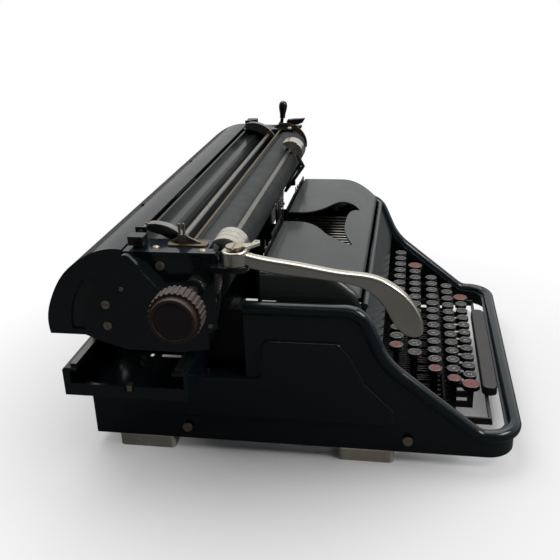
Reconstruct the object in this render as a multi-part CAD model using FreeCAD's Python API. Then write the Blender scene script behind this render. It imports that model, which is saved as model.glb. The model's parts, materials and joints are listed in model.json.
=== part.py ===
"""Wide-carriage desk typewriter, built as separate pieces.

Working frame while modelling: X to the operator's right from the middle of the body,
Y to the rear, Z up from the table. Every piece is moved at the end so that the origin
lies on the table, in the middle of the whole machine's box.
"""
import FreeCAD, Part
import math
import os

Vector = FreeCAD.Vector

# ---- driving dimensions (mm) -------------------------------------------------
GAP = 0.3                      # clear space between pieces that move past each other
FIT = 0.05                     # radial running clearance of a shaft in its hole

# body
BODY_HALF = 175.0              # half width of the plain side wall
PANEL_HEIGHT = 3.0             # how far the raised side panel stands out
WALL = 2.5                     # sheet thickness of the body
FOOT_TOP = 12.6                # underside of the body above the table
BODY_REAR = 234.7
BODY_FRONT = -168.0
DECK_Z = 84.4                  # top of the rear body, under the rail frame
LEDGE_Z = 160.0                # top of the body beside the ribbon cover
LEDGE_REAR = 80.0
LEDGE_FRONT = -31.0
RIM_RADIUS = 6.5               # rolled rim round the keyboard
FRONT_RIM_Z = 33.0
CORNER_RADIUS = 26.0           # plan radius of the front corners

# ribbon cover
COVER_HALF = 160.0
COVER_REAR = 66.5
COVER_TOP = 184.0
COVER_SHEET = 1.6
BEAD_Y = -28.5
BEAD_Z = 150.0

# carriage rails
RAIL_HALF = 223.8
RAIL_FRONT_Y = 121.6
RAIL_REAR_Y = 236.6
RAIL_TOP = 112.0

# platen
PLATEN_Y = 98.0
PLATEN_Z = 208.0
PLATEN_RADIUS = 22.8
PLATEN_HALF = 231.0
PLATEN_SHAFT = 5.0
KNOB_FACE = -317.0
KNOB_LENGTH = 26.0
KNOB_RADIUS = 20.0

# carriage end plates
END_OUTER = 247.0              # outer face of either end plate from the middle
END_SHEET = 4.0
RECESS_FLOOR = 1.4             # metal left under the crescent recess of an end plate
TOP_PLATE_Z = 231.0
TOP_PLATE_THICK = 3.0
SHAFT_END = 258.0              # right end of the platen shaft
CARRIAGE_LOW = 134.0           # underside of the carriage bed
BED_HALF = 172.0
SKIRT_Y = 109.0                # front skirt of the bed
PLATE_TOP = TOP_PLATE_Z + TOP_PLATE_THICK
FEED_RADIUS = 6.6
FEED_AXLE_RADIUS = 2.0
FEED_ANGLES = {"feed_rollers_front": 272.0, "feed_rollers_rear": 301.0}
BAIL_PIVOT_Y = 89.5
BAIL_PIVOT_Z = 172.0
BAIL_Y = 79.6                  # flat bail in front of the platen's top
BAIL_Z = 229.0
BAIL_TILT = 42.0
BAIL_ARM_X = 234.4
BAIL_RIGHT_X = 140.0
SHIELD_RADIUS = 15.0
ROD_Y = 121.0                  # paper support rod behind the platen
ROD_Z = 229.0
ROD_RADIUS = 2.6
ROD_PIVOT_Y = 150.0
ROD_PIVOT_Z = 241.0
LEVER_PIVOT_X = -245.5         # upright pivot of the return lever
LEVER_PIVOT_FRONT = 67.0
LEVER_HUB_LOW = 225.8
LEVER_HUB_HIGH = 237.0
SELECTOR_X = -229.0
SELECTOR_Y = 113.0
RING_X = 231.5                 # brass quadrant round the right end of the platen
RING_THICK = 2.6
RING_Y = 102.0
RING_Z = 211.0
RELEASE_X = 239.2              # paper release lever
RELEASE_Y = 114.0
GRIP_LEAN = 4.6
RELEASE_Z = 203.0
HORN_Y = 97.0                  # pin of the carriage release lever
HORN_Z = 239.0
RACK_Y = 206.0                 # margin rack under the rear cover
RACK_Z = 172.0

# typebars
STRIKE_RADIUS = 75.0           # pivot circle of the typebars, round the printing point
PIVOT_Y = 70.0
BAR_COUNT = 41
BAR_STEP = 2.7                 # degrees between typebars
BAR_THICK = 1.2
SLUG_WIDTH = 3.0

# keyboard
KEY_PITCH = 19.0
CAP_RADIUS = 6.7
WIDE_CAP_RADIUS = 8.6
CAP_THICK = 4.5
LEVER_LOW = 24.0
LEVER_HIGH = 31.0
LEVER_THICK = 1.6
LEVER_PIVOT_Y = 62.0
LEVER_PIVOT_Z = 27.5
PIVOT_RADIUS = 2.0

parts = {}
# Side view of the rim from the ledge down to the front, as (y, z)
# Middle line of the rim in side view: (y, z, bend radius)
RIM_RUN = [
    (LEDGE_REAR, LEDGE_Z - RIM_RADIUS, 0.0),
    (-25.0, LEDGE_Z - RIM_RADIUS, 22.0),
    (-47.0, 103.0, 70.0),
    (-134.5, FRONT_RIM_Z, 21.0),
    (BODY_FRONT + CORNER_RADIUS, FRONT_RIM_Z, 0.0),
]
PANEL_STEPS = [
    (206.0, 41.0),
    (206.0, 83.8),
    (66.0, 83.8),
    (63.5, 123.5),
    (-6.0, 123.5),
    (-17.0, 111.0),
    (-30.0, 84.0),
    (-56.5, 57.0),
    (-56.5, 44.0),
    (-50.0, 41.0),
]
CHEEK_INNER = 152.0
CHEEK_OUTER = 157.0
COVER_ARC = [(158.0, 235.0), (180.0, 232.6), (198.0, 223.0), (209.6, 213.0), (222.0, 194.0), (228.5, 176.0),
             (228.6, 158.5)]
LEFT_SHIELDS = [-231.6, -222.2, -212.8]
SHIELD_WIDTH = 8.8
RIGHT_SHIELD = (114.0, 136.0)
SECTOR_RIM = [(147.0, 244.6), (138.0, 244.8), (129.5, 242.6), (121.5, 238.0), (115.5, 232.0), (112.5, 228.0)]
SPOOL_X = 118.0
SPOOL_Y = 24.0
# Rows from the rear: first key's x, y of the row, height of the caps, number of keys
TAB_ROW = (-127.8, -56.5, 101.0, 14)
NUMBER_ROW = (-112.9, -74.3, 86.0, 13)
UPPER_ROW = (-122.4, -94.1, 74.5, 13)
HOME_ROW = (-117.65, -113.0, 62.0, 13)
LOWER_ROW = (-108.15, -130.0, 51.0, 12)
TAB_FLOOR = 66.0
CENTRE_KEY = 6                 # key of the home row that drives the centre typebar
BAR_Y = -150.5
BAR_HALF = 94.0
DRUM_X = -110.0
DRUM_Y = 180.0
DRUM_RADIUS = 26.0
WHEEL_Z = 120.0
PINION_RADIUS = 9.0


# ---- small helpers -----------------------------------------------------------
def box(x0, x1, y0, y1, z0, z1):
    return Part.makeBox(x1 - x0, y1 - y0, z1 - z0, Vector(x0, y0, z0))


def rod_x(x0, x1, y, z, radius):
    return Part.makeCylinder(radius, x1 - x0, Vector(x0, y, z), Vector(1, 0, 0))


def rod_y(x, y0, y1, z, radius):
    return Part.makeCylinder(radius, y1 - y0, Vector(x, y0, z), Vector(0, 1, 0))


def rod_z(x, y, z0, z1, radius):
    return Part.makeCylinder(radius, z1 - z0, Vector(x, y, z0), Vector(0, 0, 1))


def bar_between(start, end, radius):
    direction = end.sub(start)
    return Part.makeCylinder(radius, direction.Length, start, direction)


def polygon(points):
    return Part.makePolygon([Vector(*p) for p in points] + [Vector(*points[0])])


def side_prism(outline, x0, x1):
    """Prism along X of an outline given as (y, z) points."""
    wire = polygon([(x0, y, z) for y, z in outline])
    return Part.Face(wire).extrude(Vector(x1 - x0, 0, 0))


def plan_prism(outline, z0, z1):
    """Prism along Z of an outline given as (x, y) points."""
    wire = polygon([(x, y, z0) for x, y in outline])
    return Part.Face(wire).extrude(Vector(0, 0, z1 - z0))


def curve(points):
    spline = Part.BSplineCurve()
    spline.interpolate([Vector(*p) for p in points])
    return spline.toShape()


def join(shapes):
    shapes = list(shapes)
    return shapes[0].multiFuse(shapes[1:]).removeSplitter()


def round_edges(solid, radius, keep):
    """Fillet the straight edges that keep(edge) picks."""
    chosen = [edge for edge in solid.Edges if keep(edge)]
    return solid.makeFillet(radius, chosen)


def runs_along(edge, axis):
    if edge.Curve.TypeId != "Part::GeomLine":
        return False
    direction = edge.Curve.Direction
    return abs(abs(direction.dot(axis)) - 1.0) < 1e-6


def along_x(edge):
    return runs_along(edge, Vector(1, 0, 0))


def along_y(edge):
    return runs_along(edge, Vector(0, 1, 0))


def along_z(edge):
    return runs_along(edge, Vector(0, 0, 1))


def mirrored(shape):
    return shape.mirror(Vector(0, 0, 0), Vector(1, 0, 0))


def add(name, *solids):
    parts[name] = solids[0] if len(solids) == 1 else Part.makeCompound(list(solids))


def cheese_screw_x(x, y, z, radius, outward, height=1.8, turn=35.0):
    """Slotted screw head whose face looks along outward X (+1 or -1)."""
    start = x if outward > 0 else x - height
    head = rod_x(start, start + height, y, z, radius)
    slot_floor = x + outward * height * 0.5
    slot_far = x + outward * (height + 1.0)
    slot = box(min(slot_floor, slot_far), max(slot_floor, slot_far),
               y - radius - 1.0, y + radius + 1.0, z - 0.5, z + 0.5)
    slot.rotate(Vector(x, y, z), Vector(1, 0, 0), turn)
    return head.cut(slot)


def dome_screw_z(x, y, z, radius, height=1.6):
    """Domed screw head on a face that looks up."""
    sphere_radius = (radius * radius + height * height) / (2.0 * height)
    ball = Part.makeSphere(sphere_radius, Vector(x, y, z + height - sphere_radius))
    slot = box(x - radius - 1.0, x + radius + 1.0, y - 0.4, y + 0.4, z + height * 0.5, z + height + 1.0)
    return ball.common(rod_z(x, y, z, z + height + 1.0, radius)).cut(slot)


# ---- body --------------------------------------------------------------------


def rounded_run(x, points):
    """Straight lines joined by tangent arcs, in the plane at x, as a list of edges."""
    edges = []
    last = Vector(x, points[0][0], points[0][1])
    for before, here, after in zip(points[:-2], points[1:-1], points[2:]):
        corner = Vector(x, here[0], here[1])
        back = (Vector(x, before[0], before[1]) - corner).normalize()
        ahead = (Vector(x, after[0], after[1]) - corner).normalize()
        half_turn = (math.pi - back.getAngle(ahead)) / 2.0
        reach = here[2] * math.tan(half_turn)
        arc_start = corner + back * reach
        arc_end = corner + ahead * reach
        inward = (back + ahead).normalize()
        middle = corner + inward * (here[2] / math.cos(half_turn) - here[2])
        edges.append(Part.LineSegment(last, arc_start).toShape())
        edges.append(Part.Arc(arc_start, middle, arc_end).toShape())
        last = arc_end
    edges.append(Part.LineSegment(last, Vector(x, points[-1][0], points[-1][1])).toShape())
    return edges


def body_side_face(x, inset):
    """Side outline of the body, with the rim as a smooth run, pulled in by inset."""
    rim = [(y + inset, z - inset, bend) for y, z, bend in RIM_RUN]
    rim[0] = (LEDGE_REAR - inset,) + rim[0][1:]
    front_y = BODY_FRONT + inset
    low = FOOT_TOP if inset == 0 else FOOT_TOP - 1.0
    corners = [(rim[-1][0], rim[-1][1]), (front_y, rim[-1][1]), (front_y, low), (BODY_REAR - inset, low),
               (BODY_REAR - inset, DECK_Z - inset), (LEDGE_REAR - inset, DECK_Z - inset), (rim[0][0], rim[0][1])]
    edges = rounded_run(x, rim)
    for (y0, z0), (y1, z1) in zip(corners[:-1], corners[1:]):
        edges.append(Part.LineSegment(Vector(x, y0, z0), Vector(x, y1, z1)).toShape())
    return Part.Face(Part.Wire(edges))


def rim_roll():
    """Rolled edge in one run: left ledge, slope, front corner, front, and back up the right side."""
    x = -BODY_HALF + RIM_RADIUS - PANEL_HEIGHT
    centre = Vector(x + CORNER_RADIUS, BODY_FRONT + CORNER_RADIUS, FRONT_RIM_Z)
    lean = CORNER_RADIUS * math.sqrt(0.5)
    corner = Part.Arc(Vector(x, centre.y, centre.z), centre - Vector(lean, lean, 0),
                      Vector(centre.x, BODY_FRONT, centre.z)).toShape()
    front_corner = Vector(centre.x, BODY_FRONT, centre.z)
    front = Part.LineSegment(front_corner, Vector(0, BODY_FRONT, centre.z)).toShape()
    left = rounded_run(x, RIM_RUN) + [corner, front]
    right = [mirrored(edge) for edge in reversed(left)]
    start = Vector(x, RIM_RUN[0][0], RIM_RUN[0][1])
    section = Part.Wire([Part.makeCircle(RIM_RADIUS, start, Vector(0, 1, 0))])
    return Part.Wire(left + right).makePipeShell([section], True, False)


def raised_panel():
    """Pressed panel standing out of the side wall, stepping up beside the ledge."""
    outer = -BODY_HALF - PANEL_HEIGHT

    def rounded_corner(edge):
        centre = edge.BoundBox.Center
        return along_x(edge) and any(math.hypot(centre.y - y, centre.z - z) < 1.0 for y, z in PANEL_STEPS[:5])

    panel = side_prism(PANEL_STEPS, outer, -BODY_HALF + 1.0)
    panel = round_edges(panel, 6.0, rounded_corner)

    def on_face(edge):
        return abs(edge.BoundBox.XMin - outer) < 1e-6 and abs(edge.BoundBox.XMax - outer) < 1e-6

    return round_edges(panel, PANEL_HEIGHT * 0.6, on_face)


def make_body_shell():
    outer = body_side_face(-BODY_HALF, 0).extrude(Vector(2 * BODY_HALF, 0, 0))

    def front_corner(edge):
        return along_z(edge) and edge.BoundBox.YMax < BODY_FRONT + 1.0

    outer = round_edges(outer, CORNER_RADIUS, front_corner)
    inner = body_side_face(-BODY_HALF + WALL, WALL).extrude(Vector(2 * (BODY_HALF - WALL), 0, 0))

    def inner_front_corner(edge):
        return along_z(edge) and edge.BoundBox.YMax < BODY_FRONT + WALL + 1.0

    inner = round_edges(inner, CORNER_RADIUS - WALL, inner_front_corner)
    shell = outer.cut(inner)
    rim_inside = BODY_HALF - 2.0 * RIM_RADIUS
    well_front = BODY_FRONT + RIM_RADIUS + 2.0
    keyboard_well = box(-rim_inside, rim_inside, well_front, LEDGE_REAR - WALL,
                        FOOT_TOP + 8.0, LEDGE_Z + 10.0)
    keyboard_well = round_edges(keyboard_well, 18.0,
                                lambda edge: along_z(edge) and edge.BoundBox.YMax < well_front + 1.0)
    rear_deck = box(-BODY_HALF + 12.0, BODY_HALF - 12.0, LEDGE_REAR - 20.0, BODY_REAR - 12.0,
                    DECK_Z - 10.0, DECK_Z + 10.0)
    rear_wall_gap = box(-rim_inside, rim_inside, LEDGE_REAR - WALL - 1.0, LEDGE_REAR + 1.0,
                        DECK_Z - 10.0, LEDGE_Z + 10.0)
    shell = shell.cut(keyboard_well).cut(rear_deck).cut(rear_wall_gap)
    panel = raised_panel()
    add("body_shell", join([shell, rim_roll(), panel, mirrored(panel)]))


def make_feet():
    feet = []
    for side in (-1, 1):
        for y0, y1 in ((155.6, 211.7), (-57.3, -5.2)):
            x_outer = side * (BODY_HALF + 1.0)
            x_inner = side * (BODY_HALF - 27.0)
            pad = box(min(x_outer, x_inner), max(x_outer, x_inner), y0, y1, 0.0, FOOT_TOP)
            feet.append(round_edges(pad, 4.0, along_z))
    add("rubber_feet", *feet)


def make_body_screws():
    screws = []
    for side in (-1, 1):
        x = side * (BODY_HALF + PANEL_HEIGHT)
        for y, turn in ((140.0, 60.0), (-70.0, 35.0)):
            screws.append(cheese_screw_x(x, y, 27.0, 4.6, side, turn=turn))
    add("body_screws", *screws)


def make_front_plate():
    """Plate between the bead of the ribbon cover and the keyboard."""
    outline = [(BEAD_Y - 1.0, BEAD_Z - 1.5), (BEAD_Y + 1.0, BEAD_Z - 1.5), (-42.0, 112.0), (-44.0, 112.0)]
    plate = side_prism(outline, -COVER_HALF, COVER_HALF)
    lip = box(-COVER_HALF, COVER_HALF, -44.0, -36.0, 110.0, 112.0)
    add("front_plate", join([plate, lip]))


def make_base_frame():
    """Two cast side cheeks tied by cross rods, with the posts that carry the works."""
    pieces = []
    for side in (-1, 1):
        x0, x1 = sorted((side * CHEEK_INNER, side * CHEEK_OUTER))
        cheek = side_prism([(-120.0, FOOT_TOP + 3.0), (BODY_REAR - 12.0, FOOT_TOP + 3.0), (BODY_REAR - 12.0, 82.0),
                            (70.0, 82.0), (40.0, 70.0), (-40.0, 60.0), (-120.0, 34.0)], x0, x1)
        window = box(x0 - 1.0, x1 + 1.0, 95.0, 200.0, 34.0, 66.0)
        pieces.append(cheek.cut(window))
    for y, z, radius in ((-104.5, 35.0, 2.2), (50.0, 52.0, 4.0), (205.0, 40.0, 4.0), (150.0, 76.0, 4.0),
                         (LEVER_PIVOT_Y, LEVER_PIVOT_Z, PIVOT_RADIUS)):
        pieces.append(rod_x(-CHEEK_INNER - 1.0, CHEEK_INNER + 1.0, y, z, radius))
    pieces.append(box(-CHEEK_INNER - 1.0, CHEEK_INNER + 1.0, 64.0, 76.0, 72.0, 82.0))
    add("base_frame", join(pieces + spool_decks() + drive_brackets()))


# ---- ribbon cover ------------------------------------------------------------
def cover_profile(x, inset):
    """Closed side view of the cover's outer skin, flat at the rear and round at the front."""
    top = COVER_TOP - inset
    front = [(x, 20.0, top), (x, -3.0 + inset * 0.5, 178.0 - inset), (x, -19.0 + inset, 166.0 - inset * 0.6),
             (x, BEAD_Y + inset, BEAD_Z)]
    low = LEDGE_Z - 4.0
    spline = Part.BSplineCurve()
    spline.interpolate([Vector(*p) for p in front], InitialTangent=Vector(0, -1, 0),
                       FinalTangent=Vector(0, -0.25, -1))
    rear = COVER_REAR
    corners = [front[-1], (x, BEAD_Y + inset, BEAD_Z - 0.01), (x, BEAD_Y + 8.0, BEAD_Z - 0.01), (x, 0.0, low),
               (x, rear, low), (x, rear, top), front[0]]
    edges = [spline.toShape()]
    for a, b in zip(corners[:-1], corners[1:]):
        edges.append(Part.LineSegment(Vector(*a), Vector(*b)).toShape())
    return Part.Face(Part.Wire(edges))


def lyre_opening():
    """Opening over the typebars: a neck at the rear that spreads into two lobes."""
    half = [(16.0, COVER_REAR + 5.0), (16.0, 52.0), (24.0, 36.0), (44.0, 22.5), (62.0, 9.0), (64.0, -2.0),
            (57.0, -9.5), (47.0, -4.0), (30.0, 0.5), (0.0, 2.0)]
    left = [Vector(-x, y, 0) for x, y in half]
    right = [Vector(x, y, 0) for x, y in half]
    spline = Part.BSplineCurve()
    spline.interpolate(left[1:7])
    tongue = Part.BSplineCurve()
    tongue.interpolate(left[6:] + right[6:-1][::-1])
    mirror_spline = Part.BSplineCurve()
    mirror_spline.interpolate(right[1:7])
    edges = [Part.LineSegment(left[0], left[1]).toShape(), spline.toShape(), tongue.toShape(),
             mirror_spline.toShape(), Part.LineSegment(right[1], right[0]).toShape(),
             Part.LineSegment(right[0], left[0]).toShape()]
    wire = Part.Wire(Part.__sortEdges__(edges))
    face = Part.Face(wire)
    face.translate(Vector(0, 0, BEAD_Z + 15.0))
    return face.extrude(Vector(0, 0, 60.0))


def make_ribbon_cover():
    outer = cover_profile(-COVER_HALF, 0).extrude(Vector(2 * COVER_HALF, 0, 0))

    def top_side(edge):
        bounds = edge.BoundBox
        at_side = abs(abs(bounds.Center.x) - COVER_HALF) < 1e-6 and bounds.XLength < 1e-3
        high = bounds.ZMin > BEAD_Z - 0.005 and bounds.ZMax > LEDGE_Z + 1.0
        return at_side and high and bounds.YLength > 5.0

    outer = round_edges(outer, 7.0, top_side)
    inner_half = COVER_HALF - COVER_SHEET
    inner = cover_profile(-inner_half, COVER_SHEET).extrude(Vector(2 * inner_half, 0, 0))
    inner = round_edges(inner, 5.4, lambda edge: abs(abs(edge.BoundBox.Center.x) - inner_half) < 1e-6
                        and edge.BoundBox.XLength < 1e-3 and edge.BoundBox.ZMax > LEDGE_Z + 1.0
                        and edge.BoundBox.YLength > 5.0)
    low_cut = box(-inner_half, inner_half, BEAD_Y + COVER_SHEET, COVER_REAR + 1.0, BEAD_Z - 5.0, LEDGE_Z)
    rear_cut = box(-inner_half, inner_half, COVER_REAR - 5.0, COVER_REAR + 5.0,
                   BEAD_Z, COVER_TOP - COVER_SHEET)
    sheet = outer.cut(inner).cut(low_cut).cut(rear_cut).cut(lyre_opening())
    bead = rod_x(-COVER_HALF + 3.0, COVER_HALF - 3.0, BEAD_Y, BEAD_Z + 2.6, 2.6)
    add("ribbon_cover", join([sheet, bead]))


# ---- rails -------------------------------------------------------------------
def make_rail_frame():
    """Channel across the body that carries the two rails; low lips close its ends."""
    low = DECK_Z
    floor_top = low + 2.6
    floor = box(-RAIL_HALF, RAIL_HALF, RAIL_FRONT_Y, RAIL_REAR_Y, low, floor_top)
    opening = box(-150.0, 150.0, RAIL_FRONT_Y + 20.0, RAIL_REAR_Y - 20.0, low - 1.0, floor_top + 1.0)
    front = box(-RAIL_HALF, RAIL_HALF, RAIL_FRONT_Y, RAIL_FRONT_Y + 3.4, low, RAIL_TOP)
    front_flange = box(-RAIL_HALF, RAIL_HALF, RAIL_FRONT_Y, RAIL_FRONT_Y + 13.4, RAIL_TOP - 3.0, RAIL_TOP)
    rear = box(-RAIL_HALF, RAIL_HALF, RAIL_REAR_Y - 6.6, RAIL_REAR_Y, low, RAIL_TOP)
    rear_flange = box(-RAIL_HALF, RAIL_HALF, RAIL_REAR_Y - 14.0, RAIL_REAR_Y, RAIL_TOP - 3.0, RAIL_TOP)
    lips = []
    holes = []
    for side in (-1, 1):
        x0, x1 = sorted((side * RAIL_HALF, side * (RAIL_HALF - 3.0)))
        lip = box(x0, x1, RAIL_FRONT_Y, RAIL_REAR_Y, low, low + 12.0)
        notch = box(x0 - 1.0, x1 + 1.0, 171.0, 180.0, low + 7.0, low + 20.0)
        lips.append(lip.cut(notch))
        corner = [(side * (RAIL_HALF - 9.0), 222.0), (side * (RAIL_HALF - 24.0), 222.0),
                  (side * (RAIL_HALF - 9.0), 208.0)]
        holes.append(plan_prism(corner, low - 1.0, floor_top + 1.0))
    frame = join([floor.cut(opening), front, front_flange, rear, rear_flange] + lips)
    for hole in holes:
        frame = frame.cut(hole)
    frame = round_edges(frame, 3.0, lambda edge: along_x(edge) and edge.BoundBox.ZMin > RAIL_TOP - 0.5
                        and (edge.BoundBox.YMax < RAIL_FRONT_Y + 0.5 or edge.BoundBox.YMin > RAIL_REAR_Y - 0.5))
    add("rail_frame", frame)


def make_rails():
    """Hardened steel strips on the frame's flanges that the carriage rollers run on."""
    front = box(-RAIL_HALF + 4.0, RAIL_HALF - 4.0, 126.0, 133.0, RAIL_TOP, RAIL_TOP + 2.5)
    rear = box(-RAIL_HALF + 4.0, RAIL_HALF - 4.0, 224.0, 230.0, RAIL_TOP, RAIL_TOP + 2.5)
    add("carriage_rails", front, rear)


def make_end_pegs():
    """Pegs in the notches of the end lips that stop the carriage from running off."""
    low = DECK_Z
    pegs = []
    for side in (-1, 1):
        x0, x1 = sorted((side * RAIL_HALF, side * (RAIL_HALF - 6.0)))
        pegs.append(box(x0, x1, 173.0, 178.0, low + 7.0, low + 12.5))
    add("carriage_stop_pegs", *pegs)


# ---- carriage ----------------------------------------------------------------


def cover_section(x, inset):
    """Closed section of the rear of the carriage: curved back, straight front."""
    points = [Vector(x, y - inset, z - inset * 0.7) for y, z in COVER_ARC]
    points[0] = Vector(x, COVER_ARC[0][0], COVER_ARC[0][1] - inset)
    points[-1] = Vector(x, COVER_ARC[-1][0] - inset, COVER_ARC[-1][1])
    spline = Part.BSplineCurve()
    spline.interpolate(points)
    chord = [points[-1], Vector(x, COVER_ARC[0][0], COVER_ARC[-1][1]), points[0]]
    edges = [spline.toShape()]
    for a, b in zip(chord[:-1], chord[1:]):
        edges.append(Part.LineSegment(a, b).toShape())
    return Part.Face(Part.Wire(edges))


def make_rear_cover():
    """Curved sheet over the back of the carriage, with two slots in its top."""
    half = END_OUTER - END_SHEET - 0.2
    outer = cover_section(-half, 0).extrude(Vector(2 * half, 0, 0))
    inner = cover_section(-half - 1.0, 1.6).extrude(Vector(2 * half + 2.0, 0, 0))
    sheet = outer.cut(inner)
    front_web = box(-half - 1.0, half + 1.0, 157.0, 159.5, 150.0, 232.0)
    low_web = box(-half - 1.0, half + 1.0, 157.0, 226.9, 150.0, 160.0)
    sheet = sheet.cut(front_web).cut(low_web)
    for x in (-120.0, 50.0):
        slot = box(x - 4.0, x + 10.0, 182.0, 185.0, 220.0, 240.0)
        slot.rotate(Vector(x, 183.5, 230.0), Vector(0, 0, 1), 18.0)
        sheet = sheet.cut(slot)
    add("rear_cover", sheet)


def make_paper_table():
    """Sloping tray that guides the sheet down behind the platen."""
    half = END_OUTER - END_SHEET - 1.0
    outline = [(155.0, 226.6), (155.0, 224.6), (141.7, 224.6), (126.0, 203.0), (119.5, 194.5), (118.0, 195.5),
               (124.5, 204.5), (140.2, 226.6)]
    table = side_prism(outline, -half, half)
    table = table.cut(box(RING_X - 0.5, half + 1.0, 110.0, 130.5, 190.0, 222.0))
    lip = box(-half + 26.0, half - 26.0, 153.0, 155.0, 226.0, 232.6)
    ridge = side_prism([(136.6, 219.6), (135.6, 222.2), (134.0, 219.0)], -half + 12.0, half - 12.0)
    add("paper_table", join([table, lip, ridge]))


def end_plate_outline():
    return [(84.0, TOP_PLATE_Z), (84.0, 200.0), (85.0, 169.0), (93.0, 164.0), (93.0, 150.0), (118.0, 146.0),
            (163.0, 146.5), (184.0, 153.0), (198.0, 158.5), (COVER_ARC[-1][0], COVER_ARC[-1][1])]


def end_plate(x0, x1):
    """Plate that closes one end of the carriage; its back follows the rear cover."""
    outline = end_plate_outline()
    points = [Vector(x0, y, z) for y, z in outline]
    arc = [Vector(x0, y, z) for y, z in reversed(COVER_ARC)]
    back = Part.BSplineCurve()
    back.interpolate(arc)
    edges = [back.toShape(), Part.LineSegment(arc[-1], Vector(x0, 158.0, TOP_PLATE_Z)).toShape(),
             Part.LineSegment(Vector(x0, 158.0, TOP_PLATE_Z), points[0]).toShape()]
    for a, b in zip(points[:-1], points[1:]):
        edges.append(Part.LineSegment(a, b).toShape())
    plate = Part.Face(Part.Wire(Part.__sortEdges__(edges))).extrude(Vector(x1 - x0, 0, 0))
    crescent = rod_x(x0 - 1.0, x1 + 1.0, 147.0, 167.0, 62.0)
    crescent = crescent.cut(rod_x(x0 - 2.0, x1 + 2.0, 133.0, 163.0, 64.0))
    if x0 < 0:
        crescent = crescent.common(box(x0 - 1.0, x1 - RECESS_FLOOR, 180.0, 222.0, 163.0, 209.0))
    else:
        crescent = crescent.common(box(x0 + RECESS_FLOOR, x1 + 1.0, 180.0, 222.0, 163.0, 209.0))
    plate = plate.cut(crescent)
    bores = [(PLATEN_Y, PLATEN_Z, PLATEN_SHAFT), (BAIL_PIVOT_Y, BAIL_PIVOT_Z, PIVOT_RADIUS),
             (RELEASE_Y, RELEASE_Z, 3.0)]
    bores += [feed_axis(angle) + (FEED_AXLE_RADIUS,) for angle in FEED_ANGLES.values()]
    for y, z, radius in bores:
        plate = plate.cut(rod_x(x0 - 1.0, x1 + 1.0, y, z, radius + FIT))
    return plate


def make_end_plates():
    add("carriage_end_left", end_plate(-END_OUTER, -END_OUTER + END_SHEET))
    add("carriage_end_right", end_plate(END_OUTER - END_SHEET, END_OUTER))


def sided_box(side, x_inner, x_outer, y0, y1, z0, z1):
    """Box given by its distances from the middle, on the left (-1) or the right (+1)."""
    x0, x1 = sorted((side * x_inner, side * x_outer))
    return box(x0, x1, y0, y1, z0, z1)


def top_plate(side):
    """Flat plate over one end of the carriage, with the ear of the paper support."""
    plate = sided_box(side, END_OUTER - 30.0, END_OUTER + 0.6, 82.0, 157.0, TOP_PLATE_Z, PLATE_TOP)
    platen_room = rod_x(-300.0, 300.0, PLATEN_Y, PLATEN_Z, PLATEN_RADIUS + 1.0)
    bail_room = sided_box(side, 200.0, END_OUTER - 9.5, 70.0, 90.0, 200.0, 260.0)
    stem_hole = sided_box(side, 236.0 - 3.3, 236.0 + 3.3, 144.7, 151.3, 220.0, 250.0)
    ear = sided_box(side, 218.5, 221.0, 145.5, 154.5, PLATE_TOP - 1.0, ROD_PIVOT_Z + 4.0)
    ear_hole = rod_x(-300.0, 300.0, ROD_PIVOT_Y, ROD_PIVOT_Z, PIVOT_RADIUS + FIT)
    return join([plate, ear]).cut(platen_room).cut(bail_room).cut(stem_hole).cut(ear_hole)


def make_top_plates():
    tongue = box(LEVER_PIVOT_X - 10.5, LEVER_PIVOT_X + 8.0, 56.0, 84.0, 221.0, LEVER_HUB_LOW - GAP)
    tongue = round_edges(tongue, 8.0, lambda edge: along_z(edge) and edge.BoundBox.YMax < 57.0)
    web = box(LEVER_PIVOT_X - 2.1, LEVER_PIVOT_X + 8.0, 80.0, 84.0, 224.0, TOP_PLATE_Z + 1.0)
    pivot_hole = rod_z(LEVER_PIVOT_X, LEVER_PIVOT_FRONT, 200.0, 260.0, 4.0)
    add("top_plate_left", join([top_plate(-1), tongue, web]).cut(pivot_hole))
    right = top_plate(1)
    ring_slot = box(RING_X - 0.4, RING_X + RING_THICK + 0.4, 77.0, 125.0, 220.0, 250.0)
    arm_slot = box(RELEASE_X - 0.8, RELEASE_X + 3.2, 92.0, 122.0, 220.0, 250.0)
    ears = [box(236.0, 237.3, 93.0, 101.0, PLATE_TOP - 1.0, HORN_Z + 3.0),
            box(244.7, 246.2, 93.0, 101.0, PLATE_TOP - 1.0, HORN_Z + 3.0)]
    pin = rod_x(236.5, 245.5, HORN_Y, HORN_Z, 1.2)
    add("top_plate_right", join([right.cut(ring_slot).cut(arm_slot)] + ears + [pin]))


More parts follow.
